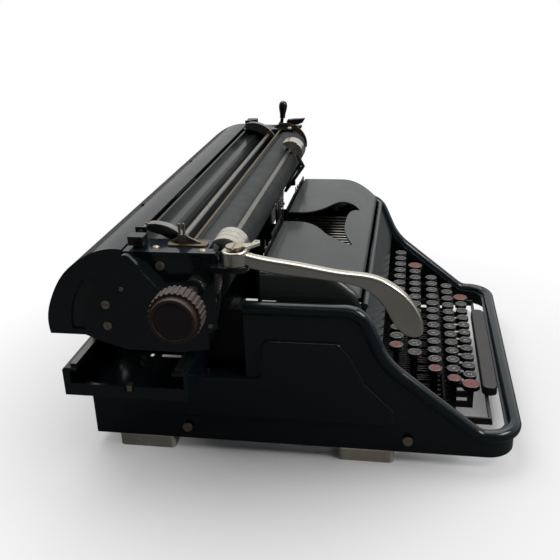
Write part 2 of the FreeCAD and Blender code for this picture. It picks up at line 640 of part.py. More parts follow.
def make_carriage_frame():
    """Bed of the carriage: beams over the rails, shoes, a front skirt and arms to the end plates."""
    high = CARRIAGE_LOW + 12.0
    front_beam = box(-BED_HALF, BED_HALF, 120.0, 138.0, CARRIAGE_LOW, high)
    rear_beam = box(-BED_HALF, BED_HALF, 196.0, 226.0, CARRIAGE_LOW, high + 6.0)
    pieces = [front_beam, rear_beam]
    for x0, x1 in ((-BED_HALF, -BED_HALF + 8.0), (-30.0, -20.0), (20.0, 30.0), (BED_HALF - 8.0, BED_HALF)):
        pieces.append(box(x0, x1, SKIRT_Y, 200.0, CARRIAGE_LOW, high))
    pieces.append(box(-BED_HALF - 25.0, BED_HALF + 68.0, SKIRT_Y, SKIRT_Y + 1.6, CARRIAGE_LOW - 10.0, high))
    shoe_low = RAIL_TOP + 2.5 + GAP
    for x in (-155.0, -70.0, 70.0, 155.0):
        pieces.append(box(x - 11.0, x + 11.0, 124.0, 135.0, shoe_low, CARRIAGE_LOW + 1.0))
        pieces.append(box(x - 11.0, x + 11.0, 222.5, 231.0, shoe_low, CARRIAGE_LOW + 10.0))
    reach = END_OUTER - END_SHEET
    pieces.append(box(-reach, reach, 124.0, 136.0, high + 4.0, high + 12.0))
    pieces.append(box(-reach, reach, 166.0, 178.0, high + 6.0, high + 14.0))
    for x in (-BED_HALF + 4.0, BED_HALF - 4.0):
        pieces.append(box(x - 4.0, x + 4.0, 120.0, 200.0, high - 1.0, high + 14.0))
    pieces.append(box(-BED_HALF, BED_HALF, 156.0, 162.0, WHEEL_Z + PINION_RADIUS + GAP, CARRIAGE_LOW + 0.5))
    add("carriage_frame", join(pieces))


def make_carriage_rollers():
    """Ball-bearing rollers between the shoes, one row over each rail."""
    radius = (CARRIAGE_LOW - RAIL_TOP - 2.5 - 2 * FIT) / 2.0
    z = RAIL_TOP + 2.5 + FIT + radius
    rollers = []
    for x in (-130.0, -100.0, -45.0, 45.0, 100.0, 130.0):
        rollers.append(rod_y(x, 126.5, 132.5, z, radius))
        rollers.append(rod_y(x, 224.5, 229.5, z, radius))
    add("carriage_rollers", *rollers)


def make_platen():
    body = rod_x(-PLATEN_HALF, PLATEN_HALF, PLATEN_Y, PLATEN_Z, PLATEN_RADIUS)
    bore = rod_x(-PLATEN_HALF - 1.0, PLATEN_HALF + 1.0, PLATEN_Y, PLATEN_Z, PLATEN_SHAFT)
    add("platen", round_edges(body, 0.8, lambda edge: edge.Curve.TypeId == "Part::GeomCircle").cut(bore))
    shaft = rod_x(KNOB_FACE + KNOB_LENGTH - 12.0, SHAFT_END, PLATEN_Y, PLATEN_Z, PLATEN_SHAFT)
    right_collar = rod_x(SHAFT_END - 9.0, SHAFT_END, PLATEN_Y, PLATEN_Z, 8.5).cut(shaft)
    left_collar = rod_x(-END_OUTER - 10.0, -END_OUTER - GAP, PLATEN_Y, PLATEN_Z, 8.0).cut(shaft)
    add("platen_shaft", shaft, right_collar, left_collar)


def make_platen_knob():
    """Moulded knob: ribbed grip, a plain step and a dished face."""
    back = KNOB_FACE + KNOB_LENGTH
    grip_front = KNOB_FACE + 6.0
    grip = rod_x(grip_front, back - 6.0, PLATEN_Y, PLATEN_Z, KNOB_RADIUS)
    rib_count = 30
    notch = rod_x(grip_front - 1.0, back - 5.0, PLATEN_Y, PLATEN_Z + KNOB_RADIUS + 0.5, 1.5)
    notches = []
    for index in range(rib_count):
        copy = notch.copy()
        copy.rotate(Vector(0, PLATEN_Y, PLATEN_Z), Vector(1, 0, 0), index * 360.0 / rib_count)
        notches.append(copy)
    grip = grip.cut(Part.makeCompound(notches))
    step = rod_x(KNOB_FACE, grip_front, PLATEN_Y, PLATEN_Z, KNOB_RADIUS - 2.8)
    step = step.makeFillet(1.6, [edge for edge in step.Edges if edge.BoundBox.XMax < KNOB_FACE + 0.1
                                 and edge.Curve.TypeId == "Part::GeomCircle"])
    dish = Part.makeSphere(160.0, Vector(KNOB_FACE - 158.6, PLATEN_Y, PLATEN_Z))
    dish = dish.common(rod_x(KNOB_FACE - 3.0, KNOB_FACE + 5.0, PLATEN_Y, PLATEN_Z, KNOB_RADIUS - 5.5))
    hub = Part.makeCone(KNOB_RADIUS - 2.0, 10.0, 6.0, Vector(back - 6.0, PLATEN_Y, PLATEN_Z), Vector(1, 0, 0))
    bore = rod_x(back - 12.0, back + 1.0, PLATEN_Y, PLATEN_Z, PLATEN_SHAFT)
    add("platen_knob", join([grip, step, hub]).cut(dish).cut(bore))


def make_platen_ring():
    """Brass quadrant that stands behind the right end of the platen."""
    x0, x1 = RING_X, RING_X + RING_THICK
    ring = rod_x(x0, x1, RING_Y, RING_Z, 28.2).cut(rod_x(x0 - 1.0, x1 + 1.0, RING_Y, RING_Z, 22.5))
    ring = ring.cut(box(x0 - 1.0, x1 + 1.0, 50.0, 150.0, 150.0, RING_Z - 4.0))
    foot = box(x1 - 1.0, END_OUTER - END_SHEET, 125.5, 130.0, RING_Z - 4.0, RING_Z + 4.0)
    add("ratchet_quadrant", join([ring, foot]))


def make_ratchet_wheel():
    """Toothed line-space wheel on the left end of the platen."""
    radius = 18.0
    teeth = 40
    points = []
    for index in range(2 * teeth):
        angle = math.pi * index / teeth
        r = radius if index % 2 else radius - 1.4
        points.append((PLATEN_Y + r * math.cos(angle), PLATEN_Z + r * math.sin(angle)))
    x0 = -END_OUTER + END_SHEET + 0.6
    x1 = -BAIL_ARM_X - 2.0
    wheel = side_prism(points, x0, x1)
    bore = rod_x(x0 - 1.0, x1 + 1.0, PLATEN_Y, PLATEN_Z, PLATEN_SHAFT)
    add("line_space_wheel", wheel.cut(bore))


def feed_axis(angle):
    distance = PLATEN_RADIUS + FEED_RADIUS + 0.8
    turned = math.radians(angle)
    return (PLATEN_Y + distance * math.cos(turned), PLATEN_Z + distance * math.sin(turned))


def make_feed_rollers():
    """Two rows of rubber feed rollers on axles under the platen."""
    reach = END_OUTER - END_SHEET + 1.5
    for name, angle in FEED_ANGLES.items():
        y, z = feed_axis(angle)
        pieces = [rod_x(-reach, reach, y, z, FEED_AXLE_RADIUS)]
        for x in (-165.0, -55.0, 55.0, 165.0):
            pieces.append(rod_x(x - 24.0, x + 24.0, y, z, FEED_RADIUS))
        add(name, join(pieces))


def make_bail():
    """Flat paper bail over the front of the platen, on two arms."""
    y, z = BAIL_Y, BAIL_Z
    bar = box(-BAIL_ARM_X + 31.2, BAIL_RIGHT_X - 26.5, y - 1.9, y + 1.9, z - 0.9, z + 0.9)
    bar.rotate(Vector(0, y, z), Vector(1, 0, 0), BAIL_TILT)
    left_arm = bar_flat(-BAIL_ARM_X - 1.6, 1.6, (BAIL_PIVOT_Y, BAIL_PIVOT_Z), (y, z), 5.0)
    left_tie = rod_x(-BAIL_ARM_X - 1.6, -BAIL_ARM_X + 33.0, y, z, 1.4)
    elbow = (66.6, 203.6)
    right_arm = join([bar_flat(BAIL_RIGHT_X, 1.6, (y, z), elbow, 4.0),
                      bar_flat(BAIL_RIGHT_X, 1.6, elbow, (BAIL_PIVOT_Y, BAIL_PIVOT_Z), 4.0)])
    right_tie = rod_x(BAIL_RIGHT_X - 28.0, BAIL_RIGHT_X + 1.6, y, z, 1.4)
    pins = [rod_x(-END_OUTER - 2.0, -BAIL_ARM_X, BAIL_PIVOT_Y, BAIL_PIVOT_Z, PIVOT_RADIUS),
            rod_x(BAIL_RIGHT_X, END_OUTER + 2.0, BAIL_PIVOT_Y, BAIL_PIVOT_Z, PIVOT_RADIUS)]
    add("paper_bail", join([bar, left_arm, left_tie, right_arm, right_tie] + pins))


def bar_flat(x, thick, start, end, width):
    """Flat link in a YZ plane from start to end, round at both ends."""
    dy = end[0] - start[0]
    dz = end[1] - start[1]
    length = math.hypot(dy, dz)
    ny = -dz / length * width / 2.0
    nz = dy / length * width / 2.0
    outline = [(start[0] + ny, start[1] + nz), (end[0] + ny, end[1] + nz),
               (end[0] - ny, end[1] - nz), (start[0] - ny, start[1] - nz)]
    pieces = [side_prism(outline, x, x + thick)]
    for y, z in (start, end):
        pieces.append(rod_x(x, x + thick, y, z, width / 2.0))
    return join(pieces)


def bail_shield(x0, x1):
    """Polished half-round shield over a pair of bail rollers."""
    radius = SHIELD_RADIUS
    y, z = BAIL_Y - 1.0, BAIL_Z - 3.0
    shell = rod_x(x0, x1, y, z, radius).cut(rod_x(x0 - 1.0, x1 + 1.0, y, z, radius - 1.5))
    lower = box(x0 - 1.0, x1 + 1.0, y - 20.0, y + 20.0, z - 20.0, z + 2.4)
    lower.rotate(Vector(0, y, z), Vector(1, 0, 0), BAIL_TILT)
    web = box(x0 + 1.0, x0 + 2.6, y - radius + 1.0, y + radius - 1.0, z - 2.0, z + radius - 1.0)
    web = web.common(rod_x(x0, x1, y, z, radius - 1.0)).cut(lower)
    tie_hole = rod_x(x0 - 1.0, x1 + 1.0, BAIL_Y, BAIL_Z, 1.4)
    return join([shell.cut(lower), web]).cut(tie_hole)


def make_bail_shields():
    left = [bail_shield(x0, x0 + SHIELD_WIDTH) for x0 in LEFT_SHIELDS]
    add("bail_shields", bail_shield(*RIGHT_SHIELD), *left)


def make_bail_rollers():
    """Small rollers under the shields, turning on the ends of the bail."""
    radius = math.hypot(BAIL_Y - PLATEN_Y, BAIL_Z - PLATEN_Z) - PLATEN_RADIUS - GAP
    spans = [(x0 + 3.0, x0 + 6.0) for x0 in LEFT_SHIELDS] + [(117.5, 123.0), (126.5, 132.0)]
    rollers = []
    for x0, x1 in spans:
        bore = rod_x(x0 - 1.0, x1 + 1.0, BAIL_Y, BAIL_Z, 1.4)
        rollers.append(rod_x(x0, x1, BAIL_Y, BAIL_Z, radius).cut(bore))
    add("bail_rollers", *rollers)


def sector_rim(x0, x1):
    """Polished curved band along the top of a sector arm."""
    outer = Part.BSplineCurve()
    outer.interpolate([Vector(x0, y, z) for y, z in SECTOR_RIM])
    inner = Part.BSplineCurve()
    inner.interpolate([Vector(x0, y + 0.6, z - 1.7) for y, z in SECTOR_RIM])
    ends = [Part.LineSegment(Vector(x0, y, z), Vector(x0, y + 0.6, z - 1.7)).toShape()
            for y, z in (SECTOR_RIM[0], SECTOR_RIM[-1])]
    wire = Part.Wire(Part.__sortEdges__([outer.toShape(), inner.toShape()] + ends))
    return Part.Face(wire).extrude(Vector(x1 - x0, 0, 0))


def sector_arm(x0, x1):
    """Web that carries one end of the paper support rod."""
    outline = [(150.5, 244.0)] + [(y, z - 0.8) for y, z in SECTOR_RIM]
    outline += [(119.0, 224.6), (126.0, 228.0), (138.0, 234.0), (150.5, 237.6)]
    return side_prism(outline, x0, x1)


def make_paper_support():
    """Round rod behind the platen that holds the sheet up, on two sector arms."""
    rod = rod_x(-214.0, 214.0, ROD_Y, ROD_Z, ROD_RADIUS)
    arms = [sector_arm(-207.6, -206.0), sector_arm(206.0, 207.6)]
    rims = [sector_rim(-212.0, -204.0), sector_rim(204.0, 212.0)]
    pins = [rod_x(-222.0, -206.5, ROD_PIVOT_Y, ROD_PIVOT_Z, PIVOT_RADIUS),
            rod_x(206.5, 222.0, ROD_PIVOT_Y, ROD_PIVOT_Z, PIVOT_RADIUS)]
    add("paper_support_rod", join([rod] + arms + rims + pins))


def make_paper_scale():
    strip = box(-END_OUTER + 30.0, END_OUTER - 30.0, -1.6, 1.6, -0.3, 0.3)
    strip.rotate(Vector(0, 0, 0), Vector(1, 0, 0), -20.0)
    strip.translate(Vector(0, 107.0, 233.2))
    add("paper_scale", strip)


# ---- controls on the carriage --------------------------------------------------
def make_selector():
    """Slotted quadrant of the line-space selector and its finger lever."""
    plate = box(SELECTOR_X - 5.5, SELECTOR_X + 5.5, 92.0, 125.0, PLATE_TOP, PLATE_TOP + 1.2)
    plate = round_edges(plate, 4.0, along_z)
    slot = box(SELECTOR_X - 1.6, SELECTOR_X + 1.6, 98.0, 119.5, PLATE_TOP - 1.0, PLATE_TOP + 3.0)
    add("selector_plate", plate.cut(slot))
    low = PLATE_TOP + 0.4
    stem = box(SELECTOR_X - 1.2, SELECTOR_X + 1.2, SELECTOR_Y - 3.0, SELECTOR_Y + 3.0, low, low + 8.0)
    fins = []
    for offset in (-2.6, 1.0):
        fin = box(SELECTOR_X - 1.0, SELECTOR_X + 1.0, SELECTOR_Y + offset, SELECTOR_Y + offset + 1.6,
                  low + 6.0, low + 17.0)
        fins.append(fin)
    wing = side_prism([(SELECTOR_Y - 13.0, low + 1.0), (SELECTOR_Y + 11.0, low + 1.0), (SELECTOR_Y + 4.0, low + 5.0),
                       (SELECTOR_Y - 1.0, low + 9.0), (SELECTOR_Y - 5.0, low + 5.0)],
                      SELECTOR_X + 1.8, SELECTOR_X + 3.4)
    bridge = box(SELECTOR_X - 1.0, SELECTOR_X + 3.4, SELECTOR_Y - 2.0, SELECTOR_Y + 2.0, low + 3.0, low + 6.0)
    add("selector_lever", join([stem, wing, bridge] + fins))


def make_return_lever():
    """Forged return lever: hub, long arm that turns down to a paddle, and pawl arm."""
    x, y = LEVER_PIVOT_X, LEVER_PIVOT_FRONT
    top = [(y - 2.0, 236.6), (46.0, 231.5), (17.4, 227.2), (-16.6, 221.6), (-41.2, 218.4), (-59.7, 208.4),
           (-72.3, 193.6), (-77.6, 178.0)]
    tip = [(-77.2, 172.8), (-72.0, 169.8), (-64.4, 171.6)]
    bottom = [(-57.0, 178.0), (-49.0, 192.0), (-41.0, 202.6), (-30.5, 209.4), (-16.6, 213.0), (14.6, 216.8),
              (46.0, 220.8), (y - 4.0, 225.0)]
    half = 4.6
    outline = [Vector(x - half, py, pz) for py, pz in top + tip + bottom]
    spline = Part.BSplineCurve()
    spline.interpolate(outline)
    closing = Part.LineSegment(outline[-1], outline[0]).toShape()
    arm = Part.Face(Part.Wire([spline.toShape(), closing])).extrude(Vector(2 * half, 0, 0))

    def long_edge(edge):
        return edge.BoundBox.XLength < 1e-3 and edge.BoundBox.YLength > 30.0

    arm = round_edges(arm, 2.4, long_edge)
    hub = rod_z(x, y, LEVER_HUB_LOW, LEVER_HUB_HIGH, 10.0)
    hub = hub.makeFillet(1.4, [edge for edge in hub.Edges if edge.BoundBox.ZMin > LEVER_HUB_HIGH - 0.1])
    pawl = plan_prism([(x + 2.0, y - 8.0), (-233.0, 49.5), (-227.5, 50.5), (-227.0, 54.5), (-234.0, 56.0),
                       (x + 8.0, y + 4.0)], LEVER_HUB_HIGH - 1.2, LEVER_HUB_HIGH + 1.6)
    pawl_hole = rod_z(-230.4, 52.6, LEVER_HUB_HIGH - 3.0, LEVER_HUB_HIGH + 3.0, 1.2)
    bore = rod_z(x, y, LEVER_HUB_LOW - 1.0, LEVER_HUB_HIGH + 4.0, 4.0 + FIT)
    tongue_room = rod_z(x, y, LEVER_HUB_LOW - 30.0, LEVER_HUB_LOW - 0.01, 12.4)
    add("return_lever", join([arm.cut(tongue_room), hub, pawl]).cut(pawl_hole).cut(bore))


def lever_pivot_screw():
    x, y = LEVER_PIVOT_X, LEVER_PIVOT_FRONT
    shank = rod_z(x, y, 219.0, LEVER_HUB_HIGH + 1.8, 4.0)
    head = rod_z(x, y, LEVER_HUB_HIGH + 1.7, LEVER_HUB_HIGH + 3.3, 6.8)
    slot = box(x - 10.0, x + 10.0, y - 0.7, y + 0.7, LEVER_HUB_HIGH + 2.4, LEVER_HUB_HIGH + 6.0)
    return join([shank, head]).cut(slot)


def make_carriage_screws():
    screws = [lever_pivot_screw()]
    for side in (-1, 1):
        face = side * END_OUTER
        for y, z, turn in ((176.5, 187.0, 0.0), (177.0, 168.0, 60.0), (127.0, 222.5, 90.0)):
            screws.append(cheese_screw_x(face, y, z, 3.6, side, turn=turn))
        screws.append(cheese_screw_x(face, 161.5, 201.5, 1.8, side, turn=20.0))
    for x, y in ((-237.0, 133.0), (-242.0, 93.5), (226.0, 133.0), (226.0, 96.0)):
        screws.append(dome_screw_z(x, y, PLATE_TOP, 3.2))
    add("carriage_screws", *screws)


def make_interlinear_lever():
    """Bent flat lever on the platen shaft, with a rounded finger paddle."""
    x0, x1 = -262.0, -259.6
    ring = rod_x(x0, x1, PLATEN_Y, PLATEN_Z, 9.0)
    bore = rod_x(x0 - 1.0, x1 + 1.0, PLATEN_Y, PLATEN_Z, PLATEN_SHAFT + FIT)
    lower = bar_flat(x0, x1 - x0, (PLATEN_Y, PLATEN_Z), (127.0, 206.0), 7.0)
    upper = bar_flat(x0, x1 - x0, (127.0, 206.0), (145.0, 226.5), 6.0)
    paddle = bar_flat(x0 - 1.4, x1 - x0 + 1.4, (144.0, 225.5), (149.5, 231.5), 10.5)
    add("interlinear_lever", join([ring, lower, upper, paddle]).cut(bore))


def make_paper_release_lever():
    """Lever on the right end: flat arm, turned stem and a bulb grip."""
    arm = bar_flat(RELEASE_X, 2.4, (RELEASE_Y, RELEASE_Z), (109.5, 236.0), 7.0)
    pin = rod_x(RELEASE_X, END_OUTER - 0.5, RELEASE_Y, RELEASE_Z, 3.0)
    x = RELEASE_X + 1.2
    stem_end = Vector(x, 107.4, 246.6)
    stem = bar_between(Vector(x, 109.5, 235.0), stem_end, 2.2)
    side = Part.BSplineCurve()
    side.interpolate([Vector(0, 3.6, 0), Vector(0, 4.4, 8.0), Vector(0, 5.5, 15.5), Vector(0, 4.6, 20.0),
                      Vector(0, 2.2, 22.2)])
    base = Part.makePolygon([Vector(0, 2.2, 22.2), Vector(0, 0, 22.2), Vector(0, 0, 0), Vector(0, 3.6, 0)])
    grip = Part.Face(Part.Wire([side.toShape()] + base.Edges)).revolve(Vector(0, 0, 0), Vector(0, 0, 1), 360)
    grip.rotate(Vector(0, 0, 0), Vector(1, 0, 0), GRIP_LEAN)
    grip.translate(stem_end - Vector(0, 0, 2.0))
    add("paper_release_lever", join([arm, pin, stem, grip]))


def make_carriage_release_lever():
    """Horn-shaped finger lever on the right top plate."""
    outline = [(101.0, 236.6), (91.0, 235.6), (86.0, 236.2), (80.0, 238.4), (76.5, 244.0), (84.0, 243.4),
               (91.0, 243.2), (100.0, 242.2)]
    horn = side_prism(outline, 237.6, 244.4)
    hole = rod_x(236.0, 246.0, HORN_Y, HORN_Z, 1.2 + FIT)
    add("carriage_release_lever", round_edges(horn, 0.9, along_x).cut(hole))


def latch_button(side):
    x0, x1 = sorted((side * 242.0, side * 230.5))
    pad = box(x0, x1, 141.0, 154.5, PLATE_TOP + 2.6, PLATE_TOP + 10.0)
    pad = round_edges(pad, 2.0, along_z)
    pad = round_edges(pad, 0.8, lambda edge: edge.BoundBox.ZMin > PLATE_TOP + 9.9)
    stem = box(side * 236.0 - 3.0, side * 236.0 + 3.0, 145.0, 151.0, TOP_PLATE_Z - 1.8, PLATE_TOP + 3.0)
    return join([pad, stem])


def make_latch_buttons():
    add("latch_button_left", latch_button(-1))
    add("latch_button_right", latch_button(1))


def margin_stop(x):
    block = box(x - 7.0, x + 7.0, RACK_Y - 6.0, RACK_Y + 6.0, RACK_Z - 5.5, RACK_Z + 6.0)
    finger = box(x - 2.0, x + 2.0, RACK_Y - 12.0, RACK_Y - 6.0, RACK_Z - 4.0, RACK_Z + 14.0)
    channel = box(x - 8.0, x + 8.0, RACK_Y - 3.3, RACK_Y + 3.3, RACK_Z - 3.3, RACK_Z + 3.3)
    return join([block, finger]).cut(channel)


def make_margin_stops():
    reach = END_OUTER - END_SHEET
    rack = box(-reach, reach, RACK_Y - 3.0, RACK_Y + 3.0, RACK_Z - 3.0, RACK_Z + 3.0)
    add("margin_rack", rack)
    add("margin_stop_left", margin_stop(-205.0))
    add("margin_stop_right", margin_stop(205.0))


# ---- typing works --------------------------------------------------------------
def around_print_point(shape, angle):
    """Copy of a shape made at the lowest place, turned about the printing axis."""
    copy = shape.copy()
    copy.rotate(Vector(0, 0, PLATEN_Z), Vector(0, 1, 0), angle)
    return copy


def typebar():
    pivot_z = PLATEN_Z - STRIKE_RADIUS
    half = BAR_THICK / 2.0
    bar = side_prism([(PIVOT_Y + 3.0, pivot_z - 3.5), (PIVOT_Y + 3.0, pivot_z + 2.5), (52.0, pivot_z + 1.4),
                      (-8.0, pivot_z + 1.0), (-8.0, pivot_z - 1.5), (20.0, pivot_z - 3.0)], -half, half)
    slug_y = PIVOT_Y - STRIKE_RADIUS
    slug = box(-SLUG_WIDTH / 2.0, SLUG_WIDTH / 2.0, slug_y - 4.0, slug_y + 4.0, pivot_z - 0.5, pivot_z + 4.2)
    hole = rod_x(-2.0, 2.0, PIVOT_Y, pivot_z, 0.9 + FIT)
    return join([bar, slug]).cut(hole)


def bar_angle(index):
    return (index - BAR_COUNT // 2) * BAR_STEP


def make_typebars():
    middle = BAR_COUNT // 2
    one = typebar()
    fixed = [around_print_point(one, bar_angle(i)) for i in range(BAR_COUNT) if i != middle]
    add("typebars", *fixed)
    add("typebar_centre", one)


def make_segment():
    """Slotted half-ring that holds the typebars, with the pad they rest on."""
    outer = STRIKE_RADIUS + 11.0
    inner = STRIKE_RADIUS - 7.0
    y0, y1 = PIVOT_Y - 4.5, PIVOT_Y + 4.0
    ring = rod_y(0, y0, y1, PLATEN_Z, outer).cut(rod_y(0, y0 - 1.0, y1 + 1.0, PLATEN_Z, inner))
    reach = (BAR_COUNT // 2 + 2.0) * BAR_STEP
    wedge_half = math.radians(reach)
    far = 140.0
    wedge = [(0.0, PLATEN_Z), (-far * math.sin(wedge_half), PLATEN_Z - far * math.cos(wedge_half)),
             (0.0, PLATEN_Z - far),
             (far * math.sin(wedge_half), PLATEN_Z - far * math.cos(wedge_half))]
    face = Part.Face(polygon([(x, -60.0, z) for x, z in wedge]))
    sector = face.extrude(Vector(0, 200.0, 0))
    ring = ring.common(sector)
    slot_half = BAR_THICK / 2.0 + 0.2
    slot = box(-slot_half, slot_half, y0 - 1.0, y1 + 1.0,
               PLATEN_Z - STRIKE_RADIUS - 5.0, PLATEN_Z - inner + 2.0)
    slots = [around_print_point(slot, bar_angle(i)) for i in range(BAR_COUNT)]
    ring = ring.cut(Part.makeCompound(slots))
    pad = rod_y(0, -9.0, 1.0, PLATEN_Z, outer).cut(rod_y(0, -10.0, 2.0, PLATEN_Z, STRIKE_RADIUS + 3.6))
    pad = pad.common(sector)
    base = box(-40.0, 40.0, y0, y1, 82.0, PLATEN_Z - outer + 6.0)
    stays = []
    for x in (-30.0, 30.0):
        stays.append(box(x - 3.0, x + 3.0, -8.0, y0 + 1.0, 112.0, 120.5))
        stays.append(box(x - 3.0, x + 3.0, -8.0, 0.0, 112.0, PLATEN_Z - outer + 8.0))
    add("typebar_segment", join([ring, base, pad] + stays))


def make_type_guide():
    """Fork at the printing point with the ribbon carrier and two thin card holders."""
    y0, y1 = PIVOT_Y + 2.6, PIVOT_Y + 4.4
    rear = PIVOT_Y + 4.0
    pieces = [box(-16.0, 16.0, y0, rear + 1.6, 158.0, 166.0),
              box(-16.0, 16.0, rear, rear + 1.6, 126.0, 160.0)]
    for side in (-1, 1):
        x0, x1 = sorted((side * 2.4, side * 5.4))
        pieces.append(box(x0, x1, y0, y1, 160.0, 203.0))
        pieces.append(box(x0, x1, y0 - 4.0, y0 + 0.2, 196.0, 198.0))
        low = Vector(side * 14.0, y0 + 0.8, 164.0)
        elbow = Vector(side * 19.0, y0 + 0.4, 194.0)
        tip = Vector(side * 27.0, y0 + 0.6, 206.0)
        pieces += [bar_between(low, elbow, 0.7), bar_between(elbow, tip, 0.7), Part.makeSphere(0.7, elbow)]
    add("type_guide", join(pieces))


def ribbon_spool(x):
    """Two flanges and a core; the hub hole is a running fit on its post."""
    low = 160.5
    lower = rod_z(x, SPOOL_Y, low, low + 1.0, 23.0)
    core = rod_z(x, SPOOL_Y, low, low + 13.0, 15.0)
    upper = rod_z(x, SPOOL_Y, low + 12.0, low + 13.0, 23.0)
    bore = rod_z(x, SPOOL_Y, low - 1.0, low + 14.0, 3.0 + FIT)
    holes = []
    for index in range(3):
        angle = math.radians(120.0 * index)
        hole_x = x + 19.0 * math.cos(angle)
        hole_y = SPOOL_Y + 19.0 * math.sin(angle)
        holes.append(rod_z(hole_x, hole_y, low - 1.0, low + 14.0, 2.5))
    spool = join([lower, core, upper]).cut(bore)
    for hole in holes:
        spool = spool.cut(hole)
    return spool


def make_ribbon_spools():
    add("ribbon_spool_left", ribbon_spool(-SPOOL_X))
    add("ribbon_spool_right", ribbon_spool(SPOOL_X))


def spool_decks():
    """Shelves of the base frame with the posts that the ribbon spools turn on."""
    deck = []
    for x in (-SPOOL_X, SPOOL_X):
        side = 1 if x > 0 else -1
        x0, x1 = sorted((side * 92.0, side * (CHEEK_OUTER - 1.0)))
        deck.append(box(x0, x1, 2.0, 46.0, 158.0, 160.0))
        deck.append(rod_z(x, SPOOL_Y, 159.0, 175.0, 3.0))
        x0, x1 = sorted((side * CHEEK_INNER, side * (CHEEK_OUTER - 1.0)))
        deck.append(box(x0, x1, 2.0, 46.0, 62.0, 158.5))
    return deck


# ---- keyboard --------------------------------------------------------------------


def key_cap(x, y, top, radius):
    cap = rod_z(x, y, top - CAP_THICK, top, radius)
    dish = Part.makeCone(radius - 2.2, radius - 1.2, 0.6, Vector(x, y, top - 0.5))
    return cap.cut(dish)


def key_with_lever(x, y, top, radius):
    """Key top on its stem, and the long lever that the stem stands on."""
    half = LEVER_THICK / 2.0
    stem = box(x - half, x + half, y - 3.0, y + 3.0, LEVER_HIGH, top - CAP_THICK + 0.5)
    lever = box(x - half, x + half, y - 3.0, LEVER_PIVOT_Y + 4.0, LEVER_LOW, LEVER_HIGH)
    eye = rod_x(x - half - 1.0, x + half + 1.0, LEVER_PIVOT_Y, LEVER_PIVOT_Z, PIVOT_RADIUS + FIT)
    return [join([key_cap(x, y, top, radius), stem]), lever.cut(eye)]


def row_key(row, index, radius=CAP_RADIUS):
    x0, y, top, _ = row
    return key_with_lever(x0 + index * KEY_PITCH, y, top, radius)


def row_keys(row, indices):
    solids = []
    for index in indices:
        solids += row_key(row, index)
    return solids


def tab_key(index):
    x0, y, top, _ = TAB_ROW
    x = x0 + index * KEY_PITCH
    half = LEVER_THICK / 2.0
    stem = box(x - half, x + half, y - 2.5, y + 2.5, TAB_FLOOR, top - CAP_THICK + 0.5)
    return join([key_cap(x, y, top, CAP_RADIUS), stem])


def make_keys():
    last_number = NUMBER_ROW[3] - 1
    last_lower = LOWER_ROW[3] - 1
    add("tabulator_keys", *[tab_key(i) for i in range(TAB_ROW[3])])
    add("number_keys", *row_keys(NUMBER_ROW, range(last_number)))
    add("backspace_key", *row_key(NUMBER_ROW, last_number, WIDE_CAP_RADIUS))
    add("upper_letter_keys", *row_keys(UPPER_ROW, range(UPPER_ROW[3])))
    add("shift_lock_key", *row_key(HOME_ROW, 0))
    home = [index for index in range(1, HOME_ROW[3]) if index != CENTRE_KEY]
    add("home_letter_keys", *row_keys(HOME_ROW, home))
    add("centre_letter_key", *row_key(HOME_ROW, CENTRE_KEY))
    add("lower_letter_keys", *row_keys(LOWER_ROW, range(1, last_lower)))
    shifts = [solid for index in (0, last_lower) for solid in row_key(LOWER_ROW, index, WIDE_CAP_RADIUS)]
    add("shift_keys", *shifts)


def make_space_bar():
    """Long bar with rounded ends on two arms that turn on the key-lever axle."""
    bar = box(-BAR_HALF, BAR_HALF, BAR_Y - 7.5, BAR_Y + 7.5, 30.0, 39.0)
    bar = round_edges(bar, 7.0, along_z)
    bar = round_edges(bar, 1.6, lambda edge: edge.BoundBox.ZMin > 38.9)
    arms = []
    for x in (-138.0, 136.0):
        arm = box(x, x + 2.0, BAR_Y + 2.0, LEVER_PIVOT_Y + 4.0, LEVER_LOW, LEVER_HIGH)
        eye = rod_x(x - 1.0, x + 3.0, LEVER_PIVOT_Y, LEVER_PIVOT_Z, PIVOT_RADIUS + FIT)
        arms.append(arm.cut(eye))
    cross = box(-138.0, 138.0, BAR_Y + 1.0, BAR_Y + 4.0, LEVER_LOW, LEVER_HIGH - 3.0)
    posts = [box(x - 4.0, x + 4.0, BAR_Y - 1.0, BAR_Y + 3.0, LEVER_LOW, 31.0) for x in (-70.0, 70.0)]
    add("space_bar", join([bar, cross] + posts + arms))


def make_key_comb():
    """Slotted comb that keeps the key levers upright."""
    comb = box(-150.0, 150.0, -38.0, -36.4, 13.5, 46.0)
    slots = []
    for row in (NUMBER_ROW, UPPER_ROW, HOME_ROW, LOWER_ROW):
        for index in range(row[3]):
            x = row[0] + index * KEY_PITCH
            slots.append(box(x - 1.1, x + 1.1, -39.0, -35.0, 15.5, 40.0))
    for x in (-138.0, 136.0):
        slots.append(box(x - 0.3, x + 2.3, -39.0, -35.0, 15.5, 40.0))
    comb = comb.cut(Part.makeCompound(slots))
    ends = [box(-CHEEK_INNER, -149.0, -38.0, -36.4, 13.5, 46.0),
            box(149.0, CHEEK_INNER, -38.0, -36.4, 13.5, 46.0)]
    add("key_comb", join([comb] + ends))


# ---- carriage drive ----------------------------------------------------------------


def make_spring_drum():
    drum = rod_z(DRUM_X, DRUM_Y, 94.0, 110.0, DRUM_RADIUS)
    groove = rod_z(DRUM_X, DRUM_Y, 98.0, 106.0, DRUM_RADIUS + 1.0)
    groove = groove.cut(rod_z(DRUM_X, DRUM_Y, 97.0, 107.0, DRUM_RADIUS - 2.0))
    bore = rod_z(DRUM_X, DRUM_Y, 93.0, 111.0, 4.0 + FIT)
    add("spring_drum", drum.cut(groove).cut(bore))


